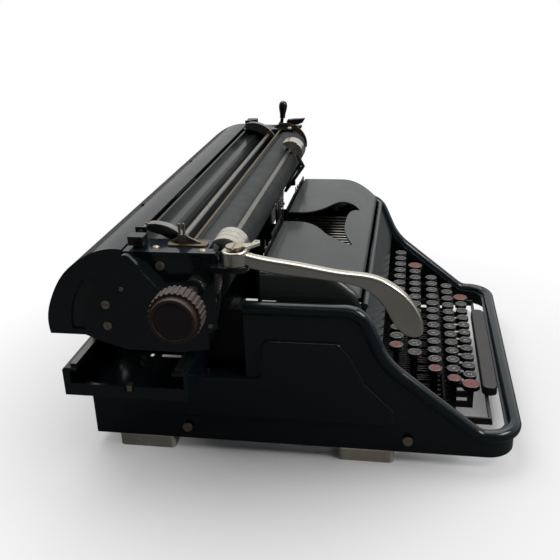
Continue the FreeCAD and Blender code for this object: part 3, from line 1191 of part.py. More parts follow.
def make_escapement():
    teeth = 24
    points = []
    for index in range(2 * teeth):
        angle = math.pi * index / teeth
        r = 12.0 if index % 2 else 10.0
        points.append((r * math.cos(angle), WHEEL_Z + r * math.sin(angle)))
    face = Part.Face(polygon([(x, 166.0, z) for x, z in points]))
    wheel = face.extrude(Vector(0, 2.0, 0))
    pinion = rod_y(0, 156.0, 166.0, WHEEL_Z, PINION_RADIUS)
    bore = rod_y(0, 155.0, 169.0, WHEEL_Z, 2.5 + FIT)
    add("escapement_wheel", join([wheel, pinion]).cut(bore))


def drive_brackets():
    """Posts of the base frame that carry the spring drum and the escapement wheel."""
    shelf = box(DRUM_X - 12.0, DRUM_X + 12.0, 148.0, 200.0, 74.0, 79.0)
    stud = rod_z(DRUM_X, DRUM_Y, 78.0, 112.0, 4.0)
    collar = rod_z(DRUM_X, DRUM_Y, 78.0, 93.5, 8.0)
    post = box(-6.0, 6.0, 169.0, 174.0, 74.0, WHEEL_Z + 5.0)
    post_foot = box(-6.0, 6.0, 148.0, 174.0, 74.0, 78.0)
    axle = rod_y(0, 155.5, 172.0, WHEEL_Z, 2.5)
    return [shelf, stud, collar, post, post_foot, axle]


# ---- build -------------------------------------------------------------------------
def export_all():
    os.makedirs("parts", exist_ok=True)
    centre_x = (KNOB_FACE + SHAFT_END) / 2.0
    centre_y = (BODY_FRONT - RIM_RADIUS + RAIL_REAR_Y) / 2.0
    shift = Vector(-centre_x, -centre_y, 0.0)
    for name, shape in parts.items():
        shape.translate(shift)
        shape.exportStep(os.path.join("parts", name + ".step"))
    whole = Part.makeCompound(list(parts.values())).BoundBox
    print("pieces", len(parts), "solids", sum(len(shape.Solids) for shape in parts.values()))
    print("shift", shift.x, shift.y)
    print("box", whole.XMin, whole.XMax, whole.YMin, whole.YMax, whole.ZMin, whole.ZMax)


MAKERS = [
    make_body_shell, make_feet, make_body_screws, make_front_plate, make_base_frame, make_ribbon_cover,
    make_rail_frame, make_rails, make_end_pegs, make_rear_cover, make_paper_table, make_end_plates,
    make_top_plates, make_carriage_frame, make_carriage_rollers, make_platen, make_platen_knob,
    make_platen_ring, make_ratchet_wheel, make_feed_rollers, make_bail, make_bail_shields,
    make_bail_rollers, make_paper_support, make_paper_scale, make_selector, make_return_lever,
    make_carriage_screws, make_interlinear_lever, make_paper_release_lever,
    make_carriage_release_lever, make_latch_buttons, make_margin_stops, make_typebars, make_segment,
    make_type_guide, make_ribbon_spools, make_keys, make_space_bar, make_key_comb, make_spring_drum,
    make_escapement,
]

for maker in MAKERS:
    maker()
export_all()
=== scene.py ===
"""Typewriter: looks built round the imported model. Units are metres, in the model's own frame."""

import json
import math
import random

import bmesh
import bpy
from mathutils import Matrix, Vector


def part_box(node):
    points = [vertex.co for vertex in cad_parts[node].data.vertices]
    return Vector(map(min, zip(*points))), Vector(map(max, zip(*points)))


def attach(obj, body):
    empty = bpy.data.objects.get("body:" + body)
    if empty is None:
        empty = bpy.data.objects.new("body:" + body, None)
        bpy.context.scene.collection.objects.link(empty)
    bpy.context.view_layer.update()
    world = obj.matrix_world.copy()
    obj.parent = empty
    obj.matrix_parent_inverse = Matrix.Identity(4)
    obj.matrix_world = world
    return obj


MM = 0.001
IMAGE_SIDE = 560                 # side of the square view, in the units of FOCAL_LENGTH
CAMERA_PLACE = (-0.7532, -0.0941, 0.4403)
CAMERA_YAW = 10.075              # degrees of the view's heading, from +X towards +Y
CAMERA_PITCH = 22.631            # degrees that the view looks down
CAMERA_ROLL = -2.032
FOCAL_LENGTH = 766.0
SENSOR = 36.0                    # millimetres
FARTHEST = 50.0                  # metres the camera sees
SEED = 7
EDGE_SOFTNESS = 0.0006           # radius of the rounding shaded onto every edge

# Key tops
WELD = 0.01 * MM                 # points of one solid that lie closer are the same point
KEY_TOP_WIDTH = 8.0 * MM         # every key top is wider than this, and every lever narrower
RIM_BAND = 0.05 * MM             # depth below a cap's highest point that counts as its rim
DISH_RADIUS = 60.0 * MM
DISH_DEPTH = 0.5 * MM
RING_INSET = 0.9 * MM            # ring's middle line, in from the edge of the cap
RING_THICK = 0.34 * MM
RING_LIFT = 0.10 * MM
RING_SIDES = 8
GLASS_SHARES = (1.0, 0.8, 0.6, 0.4, 0.2, 0.02)
GLASS_LIFT = 0.08 * MM
GLASS_DOME = 0.12 * MM
LEGEND_LIFT = 0.26 * MM
LEGEND_HEIGHT = 5.6 * MM

# Disc in the face of the platen knob
FACE_RADIUS = 14.2 * MM
FACE_DEPTH = 1.2 * MM
FACE_CURVE = 160.0 * MM
FACE_LIP = 0.2 * MM
FACE_SHARES = (1.0, 0.97, 0.8, 0.6, 0.4, 0.2, 0.03)
FACE_SIDES = 48

# Crescent recess in the left end plate, in millimetres from the middle of the body
RECESS_X = -244.5
RECESS_OUTER = (147.0, 167.0, 61.7)      # centre y, centre z and radius of its outer arc
RECESS_INNER = (133.0, 163.0, 64.3)
RECESS_START = -2.0                      # degrees
RECESS_SWEEP = 44.0
RECESS_STEPS = 18
LINING_SHEET = 0.05

# Strip under the slot behind the paper table
APRON_HALF = 242.8
APRON_FRONT = (146.0, 219.0)             # y and z
APRON_REAR = (166.0, 224.0)
APRON_SHEET = 0.8

# Uprights beside the carriage rails
SHIELD_X = 154.0
SHIELD_SHEET = 1.6
SHIELD_FRONT = 76.0
SHIELD_REAR = 121.0
SHIELD_LOW = 80.0
SHIELD_TOP = 143.0
SKIRT_FRONT = 106.5                      # the shield steps down behind this, under the moving skirt
SKIRT_LOW = 122.8

# Wires and strips behind the ribbon cover
GUIDE_SPOTS = (-147.0, -139.0, -130.0, -124.0, -115.0, -106.0, -99.0, -91.0, -84.0)
GUIDE_LEAN = 4.0
GUIDE_TOP = (186.0, 193.0)               # lowest and highest bend of the wires
GUIDE_RADIUS = 0.55
INNER_STRIP = (17.5, 79.0)               # distances of its ends from the middle
OUTER_STRIP = (79.0, 156.0)
STRIP_TOP = 186.5
LEFT_STRIP_TOP = 191.0                   # higher where the bail's right arm never passes

# Stage
FLOOR_SIZE = 12.0
FLOOR_FADE = (0.16, 0.46)        # metres from the machine's middle over which the floor turns plain white
LIT_POINT = (0.0, 0.0, 0.12)
GLOW_SPAN = (-0.6, 0.5)          # X of a direction in the sky, over which the sky brightens
GLOW_RANGE = (0.05, 0.54)

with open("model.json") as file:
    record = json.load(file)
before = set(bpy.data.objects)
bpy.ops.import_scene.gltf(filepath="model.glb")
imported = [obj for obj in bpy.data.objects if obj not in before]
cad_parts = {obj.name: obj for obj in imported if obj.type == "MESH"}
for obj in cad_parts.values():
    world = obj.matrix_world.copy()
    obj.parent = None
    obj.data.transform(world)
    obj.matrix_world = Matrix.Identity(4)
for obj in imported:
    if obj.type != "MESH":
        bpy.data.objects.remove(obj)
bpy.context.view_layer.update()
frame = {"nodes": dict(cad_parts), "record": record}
NODES = frame["nodes"]


# ---- materials ---------------------------------------------------------------
class Graph:
    """A material's node tree with short calls for what every finish here needs."""

    def __init__(self, name):
        self.material = bpy.data.materials.new(name)
        self.material.use_nodes = True
        self.tree = self.material.node_tree
        self.shader = self.tree.nodes["Principled BSDF"]
        self.place = self.tree.nodes.new("ShaderNodeTexCoord").outputs["Object"]

    def node(self, kind, **settings):
        made = self.tree.nodes.new(kind)
        for key, value in settings.items():
            setattr(made, key, value)
        return made

    def link(self, source, target):
        self.tree.links.new(source, target)

    def stretched(self, scale):
        mapping = self.node("ShaderNodeMapping")
        mapping.inputs["Scale"].default_value = scale
        self.link(self.place, mapping.inputs["Vector"])
        return mapping.outputs["Vector"]

    def noise(self, scale, detail=4.0, stretch=None, rough=0.55):
        made = self.node("ShaderNodeTexNoise")
        made.inputs["Scale"].default_value = scale
        made.inputs["Detail"].default_value = detail
        made.inputs["Roughness"].default_value = rough
        self.link(self.stretched(stretch) if stretch else self.place, made.inputs["Vector"])
        return made.outputs["Fac"]

    def ramp(self, source, low, high, low_value=0.0, high_value=1.0):
        made = self.node("ShaderNodeMapRange")
        made.inputs["From Min"].default_value = low
        made.inputs["From Max"].default_value = high
        made.inputs["To Min"].default_value = low_value
        made.inputs["To Max"].default_value = high_value
        self.link(source, made.inputs["Value"])
        return made.outputs["Result"]

    def times(self, first, second):
        made = self.node("ShaderNodeMath", operation="MULTIPLY")
        self.link(first, made.inputs[0])
        if isinstance(second, float):
            made.inputs[1].default_value = second
        else:
            self.link(second, made.inputs[1])
        return made.outputs[0]

    def mix(self, factor, low_colour, high_colour):
        made = self.node("ShaderNodeMix", data_type="RGBA")
        colour_inputs = [socket for socket in made.inputs if socket.type == "RGBA"]
        self.link(factor, made.inputs[0])
        for socket, colour in zip(colour_inputs, (low_colour, high_colour)):
            if isinstance(colour, tuple):
                socket.default_value = (*colour, 1.0)
            else:
                self.link(colour, socket)
        return [socket for socket in made.outputs if socket.type == "RGBA"][0]

    def soft_normal(self, radius):
        bevel = self.node("ShaderNodeBevel", samples=4)
        bevel.inputs["Radius"].default_value = radius
        return bevel.outputs["Normal"]

    def edges(self, radius=0.0007):
        """1 close to edges, where paint and plating wear first."""
        alike = self.node("ShaderNodeVectorMath", operation="DOT_PRODUCT")
        self.link(self.soft_normal(radius), alike.inputs[0])
        self.link(self.node("ShaderNodeNewGeometry").outputs["Normal"], alike.inputs[1])
        return self.ramp(alike.outputs["Value"], 0.985, 0.90)

    def upward(self):
        """1 where the surface looks up, where dust settles."""
        normal = self.node("ShaderNodeSeparateXYZ")
        self.link(self.node("ShaderNodeNewGeometry").outputs["Normal"], normal.inputs[0])
        return self.ramp(normal.outputs["Z"], 0.35, 0.95)

    def bump(self, source, strength, distance=0.0004):
        made = self.node("ShaderNodeBump")
        made.inputs["Strength"].default_value = strength
        made.inputs["Distance"].default_value = distance
        self.link(source, made.inputs["Height"])
        self.link(self.soft_normal(EDGE_SOFTNESS), made.inputs["Normal"])
        self.link(made.outputs["Normal"], self.shader.inputs["Normal"])

    def set(self, **values):
        names = {"colour": "Base Color", "rough": "Roughness", "metal": "Metallic", "coat": "Coat Weight",
                 "coat_rough": "Coat Roughness", "specular": "Specular IOR Level"}
        for key, value in values.items():
            socket = self.shader.inputs[names[key]]
            if hasattr(value, "is_linked"):
                self.link(value, socket)
            elif isinstance(value, tuple):
                socket.default_value = (*value, 1.0)
            else:
                socket.default_value = value
        return self.material


def enamel(name, colour, dust, rough, worn=(0.17, 0.15, 0.12), dust_amount=0.35, coat=0.6, specular=0.35):
    """Stoved enamel: faint orange peel, dust on top faces, fine scratches and rubbed edges."""
    g = Graph(name)
    mottled = g.mix(g.noise(14.0), colour, tuple(channel * 1.4 for channel in colour))
    dusty = g.times(g.times(g.upward(), g.ramp(g.noise(30.0, 6.0), 0.35, 0.8)), dust_amount)
    body = g.mix(dusty, mottled, dust)
    wear = g.times(g.edges(), g.ramp(g.noise(160.0, 5.0), 0.52, 0.68))
    scratch = g.times(g.ramp(g.noise(45.0, 9.0, stretch=(1.0, 7.0, 1.0)), 0.72, 0.76), 0.25)
    final = g.mix(scratch, g.mix(g.times(wear, 0.55), body, worn), dust)
    g.bump(g.noise(500.0, 2.0), 0.03)
    return g.set(colour=final, rough=g.ramp(g.noise(22.0, 6.0), 0.3, 0.75, rough, rough + 0.12),
                 coat=coat, coat_rough=0.10, specular=specular)


def plated(name, colour, tarnish, rough, spread=(0.5, 0.85), grain=None, amount=0.45):
    """Plated or bare metal: polished, with cloudy tarnish, darker edges and a faint grain."""
    g = Graph(name)
    patches = g.times(g.ramp(g.noise(24.0, 5.0), *spread), amount)
    toned = g.mix(patches, colour, tarnish)
    final = g.mix(g.times(g.edges(), 0.25), toned, tuple(channel * 0.6 for channel in tarnish))
    brushed = g.noise(180.0, 2.0, stretch=grain or (1.0, 1.0, 1.0))
    g.bump(brushed, 0.04, 0.0001)
    return g.set(colour=final, metal=1.0, rough=g.ramp(brushed, 0.3, 0.7, rough, rough + 0.08))


def plastic(name, colour, light, rough, grain=320.0, coat=0.25):
    """Moulded plastic: slight marbling, lighter edges and a fine satin grain; the lighter edges are wear,
    and on the brown bakelite partly a painted highlight on the knob's ribs.
    """
    g = Graph(name)
    marbled = g.mix(g.ramp(g.noise(32.0, 6.0), 0.35, 0.7), colour, tuple(c * 1.5 for c in colour))
    final = g.mix(g.times(g.edges(), g.ramp(g.noise(150.0), 0.35, 0.6)), marbled, light)
    g.bump(g.noise(grain, 3.0), 0.08)
    return g.set(colour=final, rough=g.ramp(g.noise(60.0), 0.3, 0.7, rough, rough + 0.12), coat=coat,
                 coat_rough=0.2)


def rubber(name, colour, light, rough, grain=500.0, stretch=None):
    """Rubber: chalky bloom and rub marks over a fine grain; where stretched along the platen, these lighter
    streaks are partly wear and partly a painted sheen.
    """
    g = Graph(name)
    bloom_and_sheen = g.ramp(g.noise(18.0, 8.0, stretch=stretch), 0.4, 0.75)
    rub_marks_and_sheen = g.ramp(g.noise(90.0, 6.0, stretch=stretch), 0.62, 0.75)
    toned = g.mix(bloom_and_sheen, colour, light)
    final = g.mix(g.times(rub_marks_and_sheen, 0.35), toned, tuple(channel * 1.7 for channel in light))
    g.bump(g.noise(grain, 3.0), 0.15)
    return g.set(colour=final, rough=g.ramp(g.noise(50.0), 0.3, 0.7, rough, rough + 0.15))


DUST = (0.10, 0.098, 0.09)
FINISHES = {
    "black_enamel": enamel("black_enamel", (0.0052, 0.0112, 0.0145), DUST, 0.13, dust_amount=0.05),
    # Painted sheen: the covers are near-black semi-gloss, and the grey of this base colour partly stands in
    # for their broad sheen.
    "grey_sheen_enamel": enamel("grey_sheen_enamel", (0.024, 0.029, 0.029), DUST, 0.30, dust_amount=0.12),
    "black_works": enamel("black_works", (0.0035, 0.0036, 0.0038), DUST, 0.34, coat=0.1, dust_amount=0.25,
                          specular=0.25),
    "foot_rubber": rubber("foot_rubber", (0.62, 0.57, 0.47), (0.80, 0.76, 0.67), 0.62),
    "screw_brass": plated("screw_brass", (0.52, 0.46, 0.36), (0.24, 0.18, 0.10), 0.36),
    "rail_steel": plated("rail_steel", (0.20, 0.19, 0.18), (0.10, 0.07, 0.045), 0.36, grain=(0.05, 1, 1)),
    # Painted sheen: the bloom and rub marks are stretched into lighter streaks along the platen, partly wear
    # and partly standing for its sheen.
    "platen_rubber": rubber("platen_rubber", (0.012, 0.015, 0.016), (0.022, 0.026, 0.027), 0.42,
                            stretch=(0.12, 1.0, 1.0)),
    "feed_rubber": rubber("feed_rubber", (0.012, 0.012, 0.012), (0.03, 0.03, 0.03), 0.55),
    "bare_steel": plated("bare_steel", (0.36, 0.35, 0.32), (0.20, 0.16, 0.11), 0.26),
    "nickel": plated("nickel", (0.88, 0.84, 0.74), (0.42, 0.35, 0.24), 0.20, amount=0.4),
    # Painted highlight: the lighter edge colour of this brown bakelite is partly wear and partly a painted
    # highlight, as on the knob's ribs.
    "brown_bakelite": plastic("brown_bakelite", (0.040, 0.024, 0.017), (0.16, 0.105, 0.075), 0.36),
    "black_bakelite": plastic("black_bakelite", (0.006, 0.006, 0.007), (0.05, 0.047, 0.044), 0.22, coat=0.5),
    "aged_brass": plated("aged_brass", (0.24, 0.185, 0.115), (0.10, 0.065, 0.03), 0.34, spread=(0.35, 0.7)),
    "key_black": plastic("key_black", (0.004, 0.004, 0.0045), (0.03, 0.03, 0.03), 0.20, coat=0.6),
    "bar_brown": plastic("bar_brown", (0.020, 0.017, 0.016), (0.07, 0.062, 0.055), 0.34),
}


# Painted shade: the rear cover and the paper table take a darker copy of the sheen enamel, so that they come
# out darker than the other covers.
PAINTED_SHADE_COVERS = ("rear_cover", "paper_table")


def dress_nodes():
    """Every node takes the finish of its own slot, except the rear cover and the paper table, which take a
    darker copy of the sheen enamel as painted shade.
    """
    slots = {entry["node"]: entry["material_slot"] for entry in frame["record"]["subparts"]}
    # Painted shade: a darker copy of the sheen enamel, for the rear cover and the paper table.
    darker = enamel("painted_shade_sheen_enamel", (0.009, 0.0115, 0.012), DUST, 0.32, dust_amount=0.06,
                    specular=0.25)
    for name, node in NODES.items():
        node.data.materials.clear()
        node.data.materials.append(darker if name in PAINTED_SHADE_COVERS else FINISHES[slots[name]])


# ---- pieces on the keys -------------------------------------------------------
def islands(node):
    """Separate solids of a node, each as a list of its points, from left to right."""
    mesh = bmesh.new()
    mesh.from_mesh(node.data)
    bmesh.ops.remove_doubles(mesh, verts=mesh.verts, dist=WELD)
    seen = set()
    found = []
    for start in mesh.verts:
        if start in seen:
            continue
        seen.add(start)
        stack = [start]
        points = []
        while stack:
            vertex = stack.pop()
            points.append(vertex.co.copy())
            for edge in vertex.link_edges:
                other = edge.other_vert(vertex)
                if other not in seen:
                    seen.add(other)
                    stack.append(other)
        found.append(points)
    mesh.free()
    return sorted(found, key=lambda points: sum(p.x for p in points) / len(points))


def wide(points):
    """True for a key top, false for the thin lever under it."""
    return max(p.x for p in points) - min(p.x for p in points) > KEY_TOP_WIDTH


class Cap:
    """Centre, height and radius of one key cap, read from its solid."""

    def __init__(self, points):
        self.top = max(p.z for p in points)
        rim = [p for p in points if p.z > self.top - RIM_BAND]
        self.x = (max(p.x for p in rim) + min(p.x for p in rim)) / 2
        self.y = (max(p.y for p in rim) + min(p.y for p in rim)) / 2
        self.radius = (max(p.x for p in rim) - min(p.x for p in rim)) / 2


def dish(cap, distance):
    """Height of the hollow top of a cap at that distance from its centre."""
    return cap.top - DISH_DEPTH + distance * distance / (2 * DISH_RADIUS)


def finish_piece(mesh, name, body, material, smooth=True):
    data = bpy.data.meshes.new(name)
    mesh.to_mesh(data)
    mesh.free()
    data.materials.append(material)
    piece = bpy.data.objects.new(name, data)
    bpy.context.scene.collection.objects.link(piece)
    if smooth:
        data.polygons.foreach_set("use_smooth", [True] * len(data.polygons))
    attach(piece, body)
    return piece


def lathe(mesh, profile, centre, steps=40, closed=False):
    """Turns a profile of (radius, height) round an upright axis."""
    rings = []
    for radius, height in profile:
        ring = []
        for step in range(steps):
            angle = 2 * math.pi * step / steps
            ring.append(mesh.verts.new((centre[0] + radius * math.cos(angle),
                                        centre[1] + radius * math.sin(angle), height)))
        rings.append(ring)
    pairs = list(zip(rings[:-1], rings[1:]))
    if closed:
        pairs.append((rings[-1], rings[0]))
    for low, high in pairs:
        for step in range(steps):
            after = (step + 1) % steps
            mesh.faces.new((low[step], low[after], high[after], high[step]))
    return rings


def key_ring(mesh, cap):
    """Rounded metal ring let into the top of a cap."""
    middle = cap.radius - RING_INSET
    base = dish(cap, middle)
    profile = []
    for step in range(RING_SIDES):
        angle = 2 * math.pi * step / RING_SIDES
        height = base + RING_LIFT + RING_THICK * math.sin(angle)
        profile.append((middle + RING_THICK * math.cos(angle), height))
    lathe(mesh, profile, (cap.x, cap.y), closed=True)


def key_glass(mesh, cap):
    """Slightly domed disc that covers the legend's card."""
    reach = cap.radius - RING_INSET
    profile = []
    for share in GLASS_SHARES:
        distance = reach * share
        profile.append((distance, dish(cap, distance) + GLASS_LIFT + GLASS_DOME * (1 - share * share)))
    rings = lathe(mesh, profile, (cap.x, cap.y))
    mesh.faces.new(rings[-1])


def text_mesh(words, height):
    """Flat letters centred on the origin, as a mesh."""
    curve = bpy.data.curves.new("letters", "FONT")
    curve.body = words
    curve.align_x = "CENTER"
    curve.size = height
    curve.resolution_u = 3
    holder = bpy.data.objects.new("letters", curve)
    bpy.context.scene.collection.objects.link(holder)
    bpy.context.view_layer.update()
    evaluated = holder.evaluated_get(bpy.context.evaluated_depsgraph_get())
    mesh = bpy.data.meshes.new_from_object(evaluated)
    bpy.data.objects.remove(holder)
    bpy.data.curves.remove(curve)
    return mesh


def add_legend(mesh, cap, words, height):
    letters = text_mesh(words, height)
    ys = [v.co.y for v in letters.vertices]
    middle = (max(ys) + min(ys)) / 2
    first = len(mesh.verts)
    mesh.from_mesh(letters)
    bpy.data.meshes.remove(letters)
    mesh.verts.ensure_lookup_table()
    for vertex in mesh.verts[first:]:
        x = vertex.co.x
        y = vertex.co.y - middle
        vertex.co = (cap.x + x, cap.y + y, dish(cap, math.hypot(x, y)) + LEGEND_LIFT)


def legend_finish(name, colour, light):
    g = Graph(name)
    tone = g.mix(g.ramp(g.noise(900.0, 3.0), 0.35, 0.65), colour, light)
    g.bump(g.noise(1500.0, 2.0), 0.1)
    return g.set(colour=tone, rough=0.45)


def make_key_finishes():
    glass = Graph("key_card")
    mottle = glass.ramp(glass.noise(500.0, 4.0), 0.4, 0.7)
    card = glass.mix(mottle, (0.006, 0.006, 0.0065), (0.02, 0.019, 0.018))
    glass.bump(glass.noise(260.0, 2.0), 0.04)
    glass.set(colour=card, rough=0.40, coat=0.25, coat_rough=0.12)
    red = Graph("red_card")
    toned = red.mix(red.ramp(red.noise(420.0, 5.0), 0.35, 0.7), (0.16, 0.020, 0.014), (0.26, 0.05, 0.035))
    red.bump(red.noise(260.0, 2.0), 0.04)
    red.set(colour=toned, rough=0.40, coat=0.25, coat_rough=0.12)
    return {
        "ring": plated("key_ring", (0.30, 0.295, 0.28), (0.14, 0.12, 0.10), 0.26),
        "card": glass.material,
        "red_card": red.material,
        "white": legend_finish("white_legend", (0.36, 0.36, 0.34), (0.55, 0.55, 0.52)),
        "black": legend_finish("black_legend", (0.02, 0.02, 0.02), (0.06, 0.05, 0.05)),
    }


# Node, body that it belongs to, legends from left to right, and which caps have red cards
KEY_BANKS = [
    ("tabulator_keys", "tab_bank", ["+"] + list("123456") + ["-"] + list("7890") + [",", "."], {0, 7}),
    ("number_keys", "number_bank", list("1234567890") + ["-", "="], set()),
    ("backspace_key", "backspace", ["<"], {0}),
    ("upper_letter_keys", "upper_bank", ["|"] + list("QWERTYUIOP") + ["[", "]"], {0}),
    ("shift_lock_key", "shift_lock", ["v"], {0}),
    ("home_letter_keys", "home_bank", list("ASDFGJKL") + [";", "'", "#"], set()),
    ("centre_letter_key", "centre_key", ["H"], set()),
    ("lower_letter_keys", "lower_bank", list("ZXCVBNM") + [",", ".", "/"], set()),
    ("shift_keys", "shifts", ["^", "^"], {0, 1}),
]


def make_key_tops():
    finishes = make_key_finishes()
    for node_name, body, legends, red in KEY_BANKS:
        caps = [Cap(points) for points in islands(NODES[node_name]) if wide(points)]
        rings = bmesh.new()
        cards = bmesh.new()
        red_cards = bmesh.new()
        white = bmesh.new()
        black = bmesh.new()
        for index, (cap, words) in enumerate(zip(caps, legends)):
            key_ring(rings, cap)
            key_glass(red_cards if index in red else cards, cap)
            add_legend(black if index in red else white, cap, words, LEGEND_HEIGHT)
        stem = node_name.replace("_keys", "").replace("_key", "")
        for mesh, kind, finish in ((rings, "rings", "ring"), (cards, "cards", "card"),
                                   (red_cards, "red_cards", "red_card"), (white, "legends", "white"),
                                   (black, "dark_legends", "black")):
            if len(mesh.verts):
                finish_piece(mesh, f"{stem}_{kind}", body, finishes[finish])
            else:
                mesh.free()


# ---- other pieces ---------------------------------------------------------------
MIDDLE = Vector((29.5, -31.05, 0.0)) * MM     # middle of the machine's body, on the table


def at(x, y, z):
    """Point given in millimetres from the middle of the body."""
    return MIDDLE + Vector((x, y, z)) * MM


def add_wire(mesh, points, radius, sides=8):
    """Round wire through the points, with closed ends."""
    rings = []
    for index, point in enumerate(points):
        before = points[max(index - 1, 0)]
        after = points[min(index + 1, len(points) - 1)]
        turn = (after - before).to_track_quat("Z", "Y")
        ring = []
        for side in range(sides):
            angle = 2 * math.pi * side / sides
            offset = turn @ Vector((math.cos(angle), math.sin(angle), 0.0))
            ring.append(mesh.verts.new(point + offset * radius * MM))
        rings.append(ring)
    for low, high in zip(rings[:-1], rings[1:]):
        for side in range(sides):
            after = (side + 1) % sides
            mesh.faces.new((low[side], low[after], high[after], high[side]))
    mesh.faces.new(rings[0][::-1])
    mesh.faces.new(rings[-1])


def add_plate(mesh, outline, thickness):
    """Flat plate from its outline and a thickness vector."""
    front = [mesh.verts.new(point) for point in outline]
    back = [mesh.verts.new(point + thickness) for point in outline]
    mesh.faces.new(front)
    mesh.faces.new(back[::-1])
    for index, vertex in enumerate(front):
        after = (index + 1) % len(front)
        mesh.faces.new((vertex, back[index], back[after], front[after]))


def make_knob_face():
    """Darker polished disc let into the dished face of the platen knob."""
    low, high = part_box("platen_knob")
    y = (low[1] + high[1]) / 2
    z = (low[2] + high[2]) / 2
    mesh = bmesh.new()
    rings = []
    for share in FACE_SHARES:
        radius = FACE_RADIUS * share
        x = low[0] + FACE_DEPTH - radius * radius / (2 * FACE_CURVE)
        if share == 1.0:
            x += FACE_LIP
        ring = []
        for step in range(FACE_SIDES):
            angle = 2 * math.pi * step / FACE_SIDES
            ring.append(mesh.verts.new((x, y + radius * math.cos(angle), z + radius * math.sin(angle))))
        rings.append(ring)
    for outer, inner in zip(rings[:-1], rings[1:]):
        for step in range(FACE_SIDES):
            after = (step + 1) % FACE_SIDES
            mesh.faces.new((outer[step], inner[step], inner[after], outer[after]))
    mesh.faces.new(rings[-1])
    bmesh.ops.recalc_face_normals(mesh, faces=mesh.faces)
    finish_piece(mesh, "knob_face", "platen",
                 plastic("knob_face", (0.010, 0.0045, 0.0035), (0.05, 0.03, 0.02), 0.26, coat=0.6))


def recess_arc(centre_y, centre_z, radius):
    points = []
    for step in range(RECESS_STEPS + 1):
        angle = math.radians(RECESS_START + RECESS_SWEEP * step / RECESS_STEPS)
        points.append(at(RECESS_X, centre_y + radius * math.cos(angle), centre_z + radius * math.sin(angle)))
    return points


def make_recess_lining():
    """Grey-green sheet seen at the bottom of the crescent recess."""
    outline = recess_arc(*RECESS_OUTER) + recess_arc(*RECESS_INNER)[::-1]
    mesh = bmesh.new()
    add_plate(mesh, outline, Vector((LINING_SHEET * MM, 0.0, 0.0)))
    finish_piece(mesh, "recess_lining", "carriage",
                 enamel("lining_enamel", (0.020, 0.028, 0.028), DUST, 0.4, dust_amount=0.2), smooth=False)


def make_paper_apron():
    """Strip under the slot between the rear cover and the paper table."""
    mesh = bmesh.new()
    corners = [at(-APRON_HALF, *APRON_FRONT), at(APRON_HALF, *APRON_FRONT),
               at(APRON_HALF, *APRON_REAR), at(-APRON_HALF, *APRON_REAR)]
    add_plate(mesh, corners, Vector((0.0, 0.0, -APRON_SHEET * MM)))
    finish_piece(mesh, "paper_apron", "carriage", FINISHES["black_works"], smooth=False)


def make_side_shields():
    """Dark uprights that close the body beside the carriage rails."""
    mesh = bmesh.new()
    outline = [(SHIELD_FRONT, SHIELD_LOW), (SHIELD_REAR, SHIELD_LOW), (SHIELD_REAR, SKIRT_LOW),
               (SKIRT_FRONT, SKIRT_LOW), (SKIRT_FRONT, SHIELD_TOP), (SHIELD_FRONT, SHIELD_TOP)]
    for side in (-1, 1):
        x = side * SHIELD_X
        add_plate(mesh, [at(x, y, z) for y, z in outline], Vector((side * SHIELD_SHEET * MM, 0.0, 0.0)))
    finish_piece(mesh, "side_shields", "body", FINISHES["black_works"], smooth=False)


def add_strip(mesh, side, reach, y, low, top, sheet):
    """Upright cross strip between two distances from the middle, on one side."""
    x0, x1 = sorted(side * distance for distance in reach)
    corners = [at(x0, y, low), at(x1, y, low), at(x1, y, top), at(x0, y, top)]
    add_plate(mesh, corners, Vector((0.0, sheet * MM, 0.0)))


def add_guide(mesh, x, lean, top):
    """One wire, upright at first and bent over at its top."""
    points = [at(x, 68.9, 176.0), at(x + lean * 0.3, 68.9, 182.0), at(x + lean, 68.6, top - 2.0),
              at(x + lean * 1.8, 68.4, top), at(x + lean * 2.4, 68.4, top - 1.5)]
    add_wire(mesh, points, GUIDE_RADIUS)


def make_ribbon_guides():
    """Bent wire guides behind the ribbon cover, with the cross strips they stand on."""
    chance = random.Random(SEED)
    mesh = bmesh.new()
    strips = bmesh.new()
    for side in (-1, 1):
        inner_top = LEFT_STRIP_TOP if side < 0 else STRIP_TOP
        add_strip(strips, side, INNER_STRIP, 68.6, 150.0, inner_top, 1.2)
        add_strip(strips, side, OUTER_STRIP, 68.2, 148.0, STRIP_TOP, 1.4)
        for spot in GUIDE_SPOTS:
            lean = chance.uniform(-GUIDE_LEAN, GUIDE_LEAN)
            top = chance.uniform(*GUIDE_TOP)
            add_guide(mesh, side * spot, lean, top)
    finish_piece(strips, "guide_strips", "body", FINISHES["black_works"], smooth=False)
    finish_piece(mesh, "ribbon_guides", "body", FINISHES["bare_steel"])


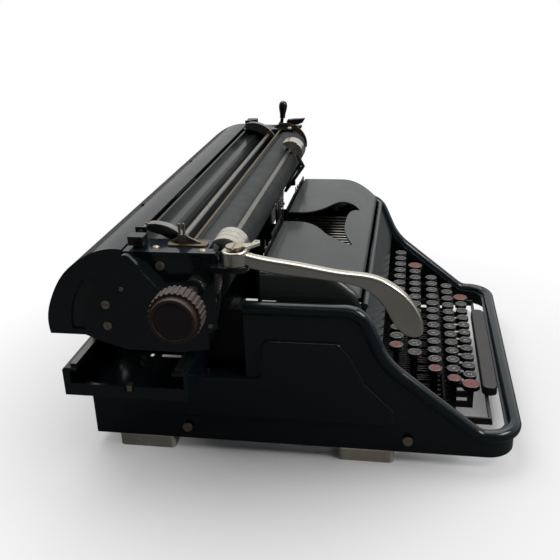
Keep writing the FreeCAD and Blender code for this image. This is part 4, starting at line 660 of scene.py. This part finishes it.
# ---- stage ----------------------------------------------------------------------
def make_floor():
    """Pale table: lit and shadowed near the machine, plain white farther out; to all rays but the camera's
    it is dark grey, a painted shade in the machine's reflections and bounce light.
    """
    mesh = bmesh.new()
    bmesh.ops.create_grid(mesh, x_segments=2, y_segments=2, size=FLOOR_SIZE)
    data = bpy.data.meshes.new("floor")
    mesh.to_mesh(data)
    mesh.free()
    floor = bpy.data.objects.new("floor", data)
    bpy.context.scene.collection.objects.link(floor)
    g = Graph("floor_paper")
    seen = g.node("ShaderNodeLightPath").outputs["Is Camera Ray"]
    paper = g.mix(g.noise(3.0), (0.90, 0.90, 0.90), (0.96, 0.96, 0.96))
    # Painted shade: the table is pale to the camera but dark grey in reflections and bounce light.
    g.set(colour=g.mix(seen, (0.10, 0.10, 0.10), paper), rough=0.9, specular=0.1)
    away = g.node("ShaderNodeVectorMath", operation="LENGTH")
    g.link(g.place, away.inputs[0])
    white = g.node("ShaderNodeEmission")
    blend = g.node("ShaderNodeMixShader")
    g.link(g.times(g.ramp(away.outputs["Value"], *FLOOR_FADE), seen), blend.inputs[0])
    g.link(g.shader.outputs[0], blend.inputs[1])
    g.link(white.outputs[0], blend.inputs[2])
    g.link(blend.outputs[0], g.tree.nodes["Material Output"].inputs["Surface"])
    data.materials.append(g.material)


def softbox(name, place, target, size, power):
    light = bpy.data.lights.new(name, "AREA")
    light.shape = "RECTANGLE"
    light.size, light.size_y = size
    light.energy = power
    lamp = bpy.data.objects.new(name, light)
    lamp.location = place
    lamp.rotation_mode = "QUATERNION"
    lamp.rotation_quaternion = (Vector(target) - Vector(place)).to_track_quat("-Z", "Y")
    bpy.context.scene.collection.objects.link(lamp)


def make_lights():
    softbox("high_softbox", (0.6, 0.1, 1.8), LIT_POINT, (2.4, 2.0), 22.0)
    softbox("front_softbox", (-0.5, -1.6, 1.6), LIT_POINT, (1.0, 0.8), 14.0)
    world = bpy.data.worlds.new("studio")
    bpy.context.scene.world = world
    world.use_nodes = True
    nodes = world.node_tree.nodes
    links = world.node_tree.links
    background = nodes["Background"]
    place = nodes.new("ShaderNodeTexCoord")
    parts = nodes.new("ShaderNodeSeparateXYZ")
    links.new(place.outputs["Generated"], parts.inputs[0])
    glow = nodes.new("ShaderNodeMapRange")
    glow.inputs["From Min"].default_value = GLOW_SPAN[0]
    glow.inputs["From Max"].default_value = GLOW_SPAN[1]
    glow.inputs["To Min"].default_value = GLOW_RANGE[0]
    glow.inputs["To Max"].default_value = GLOW_RANGE[1]
    links.new(parts.outputs["X"], glow.inputs["Value"])
    seen = nodes.new("ShaderNodeLightPath")
    pick = nodes.new("ShaderNodeMix")
    pick.data_type = "FLOAT"
    links.new(seen.outputs["Is Camera Ray"], pick.inputs[0])
    links.new(glow.outputs["Result"], pick.inputs[2])
    pick.inputs[3].default_value = 1.0
    background.inputs["Color"].default_value = (1.0, 1.0, 1.0, 1.0)
    links.new(pick.outputs[0], background.inputs["Strength"])


def make_camera():
    yaw, pitch, roll = (math.radians(a) for a in (CAMERA_YAW, CAMERA_PITCH, CAMERA_ROLL))
    ahead = Vector((math.cos(yaw) * math.cos(pitch), math.sin(yaw) * math.cos(pitch), -math.sin(pitch)))
    level = Vector((math.sin(yaw), -math.cos(yaw), 0.0))
    upright = level.cross(ahead)
    right = level * math.cos(roll) + upright * math.sin(roll)
    up = right.cross(ahead)
    data = bpy.data.cameras.new("camera")
    data.sensor_width = SENSOR
    data.lens = FOCAL_LENGTH / IMAGE_SIDE * SENSOR
    data.clip_end = FARTHEST
    camera = bpy.data.objects.new("camera", data)
    camera.matrix_world = Matrix((right, up, -ahead)).transposed().to_4x4()
    camera.location = CAMERA_PLACE
    bpy.context.scene.collection.objects.link(camera)
    bpy.context.scene.camera = camera


random.seed(SEED)
dress_nodes()
make_key_tops()
make_knob_face()
make_recess_lining()
make_paper_apron()
make_ribbon_guides()
make_side_shields()
make_floor()
make_lights()
make_camera()
bpy.context.scene.view_settings.view_transform = "Standard"
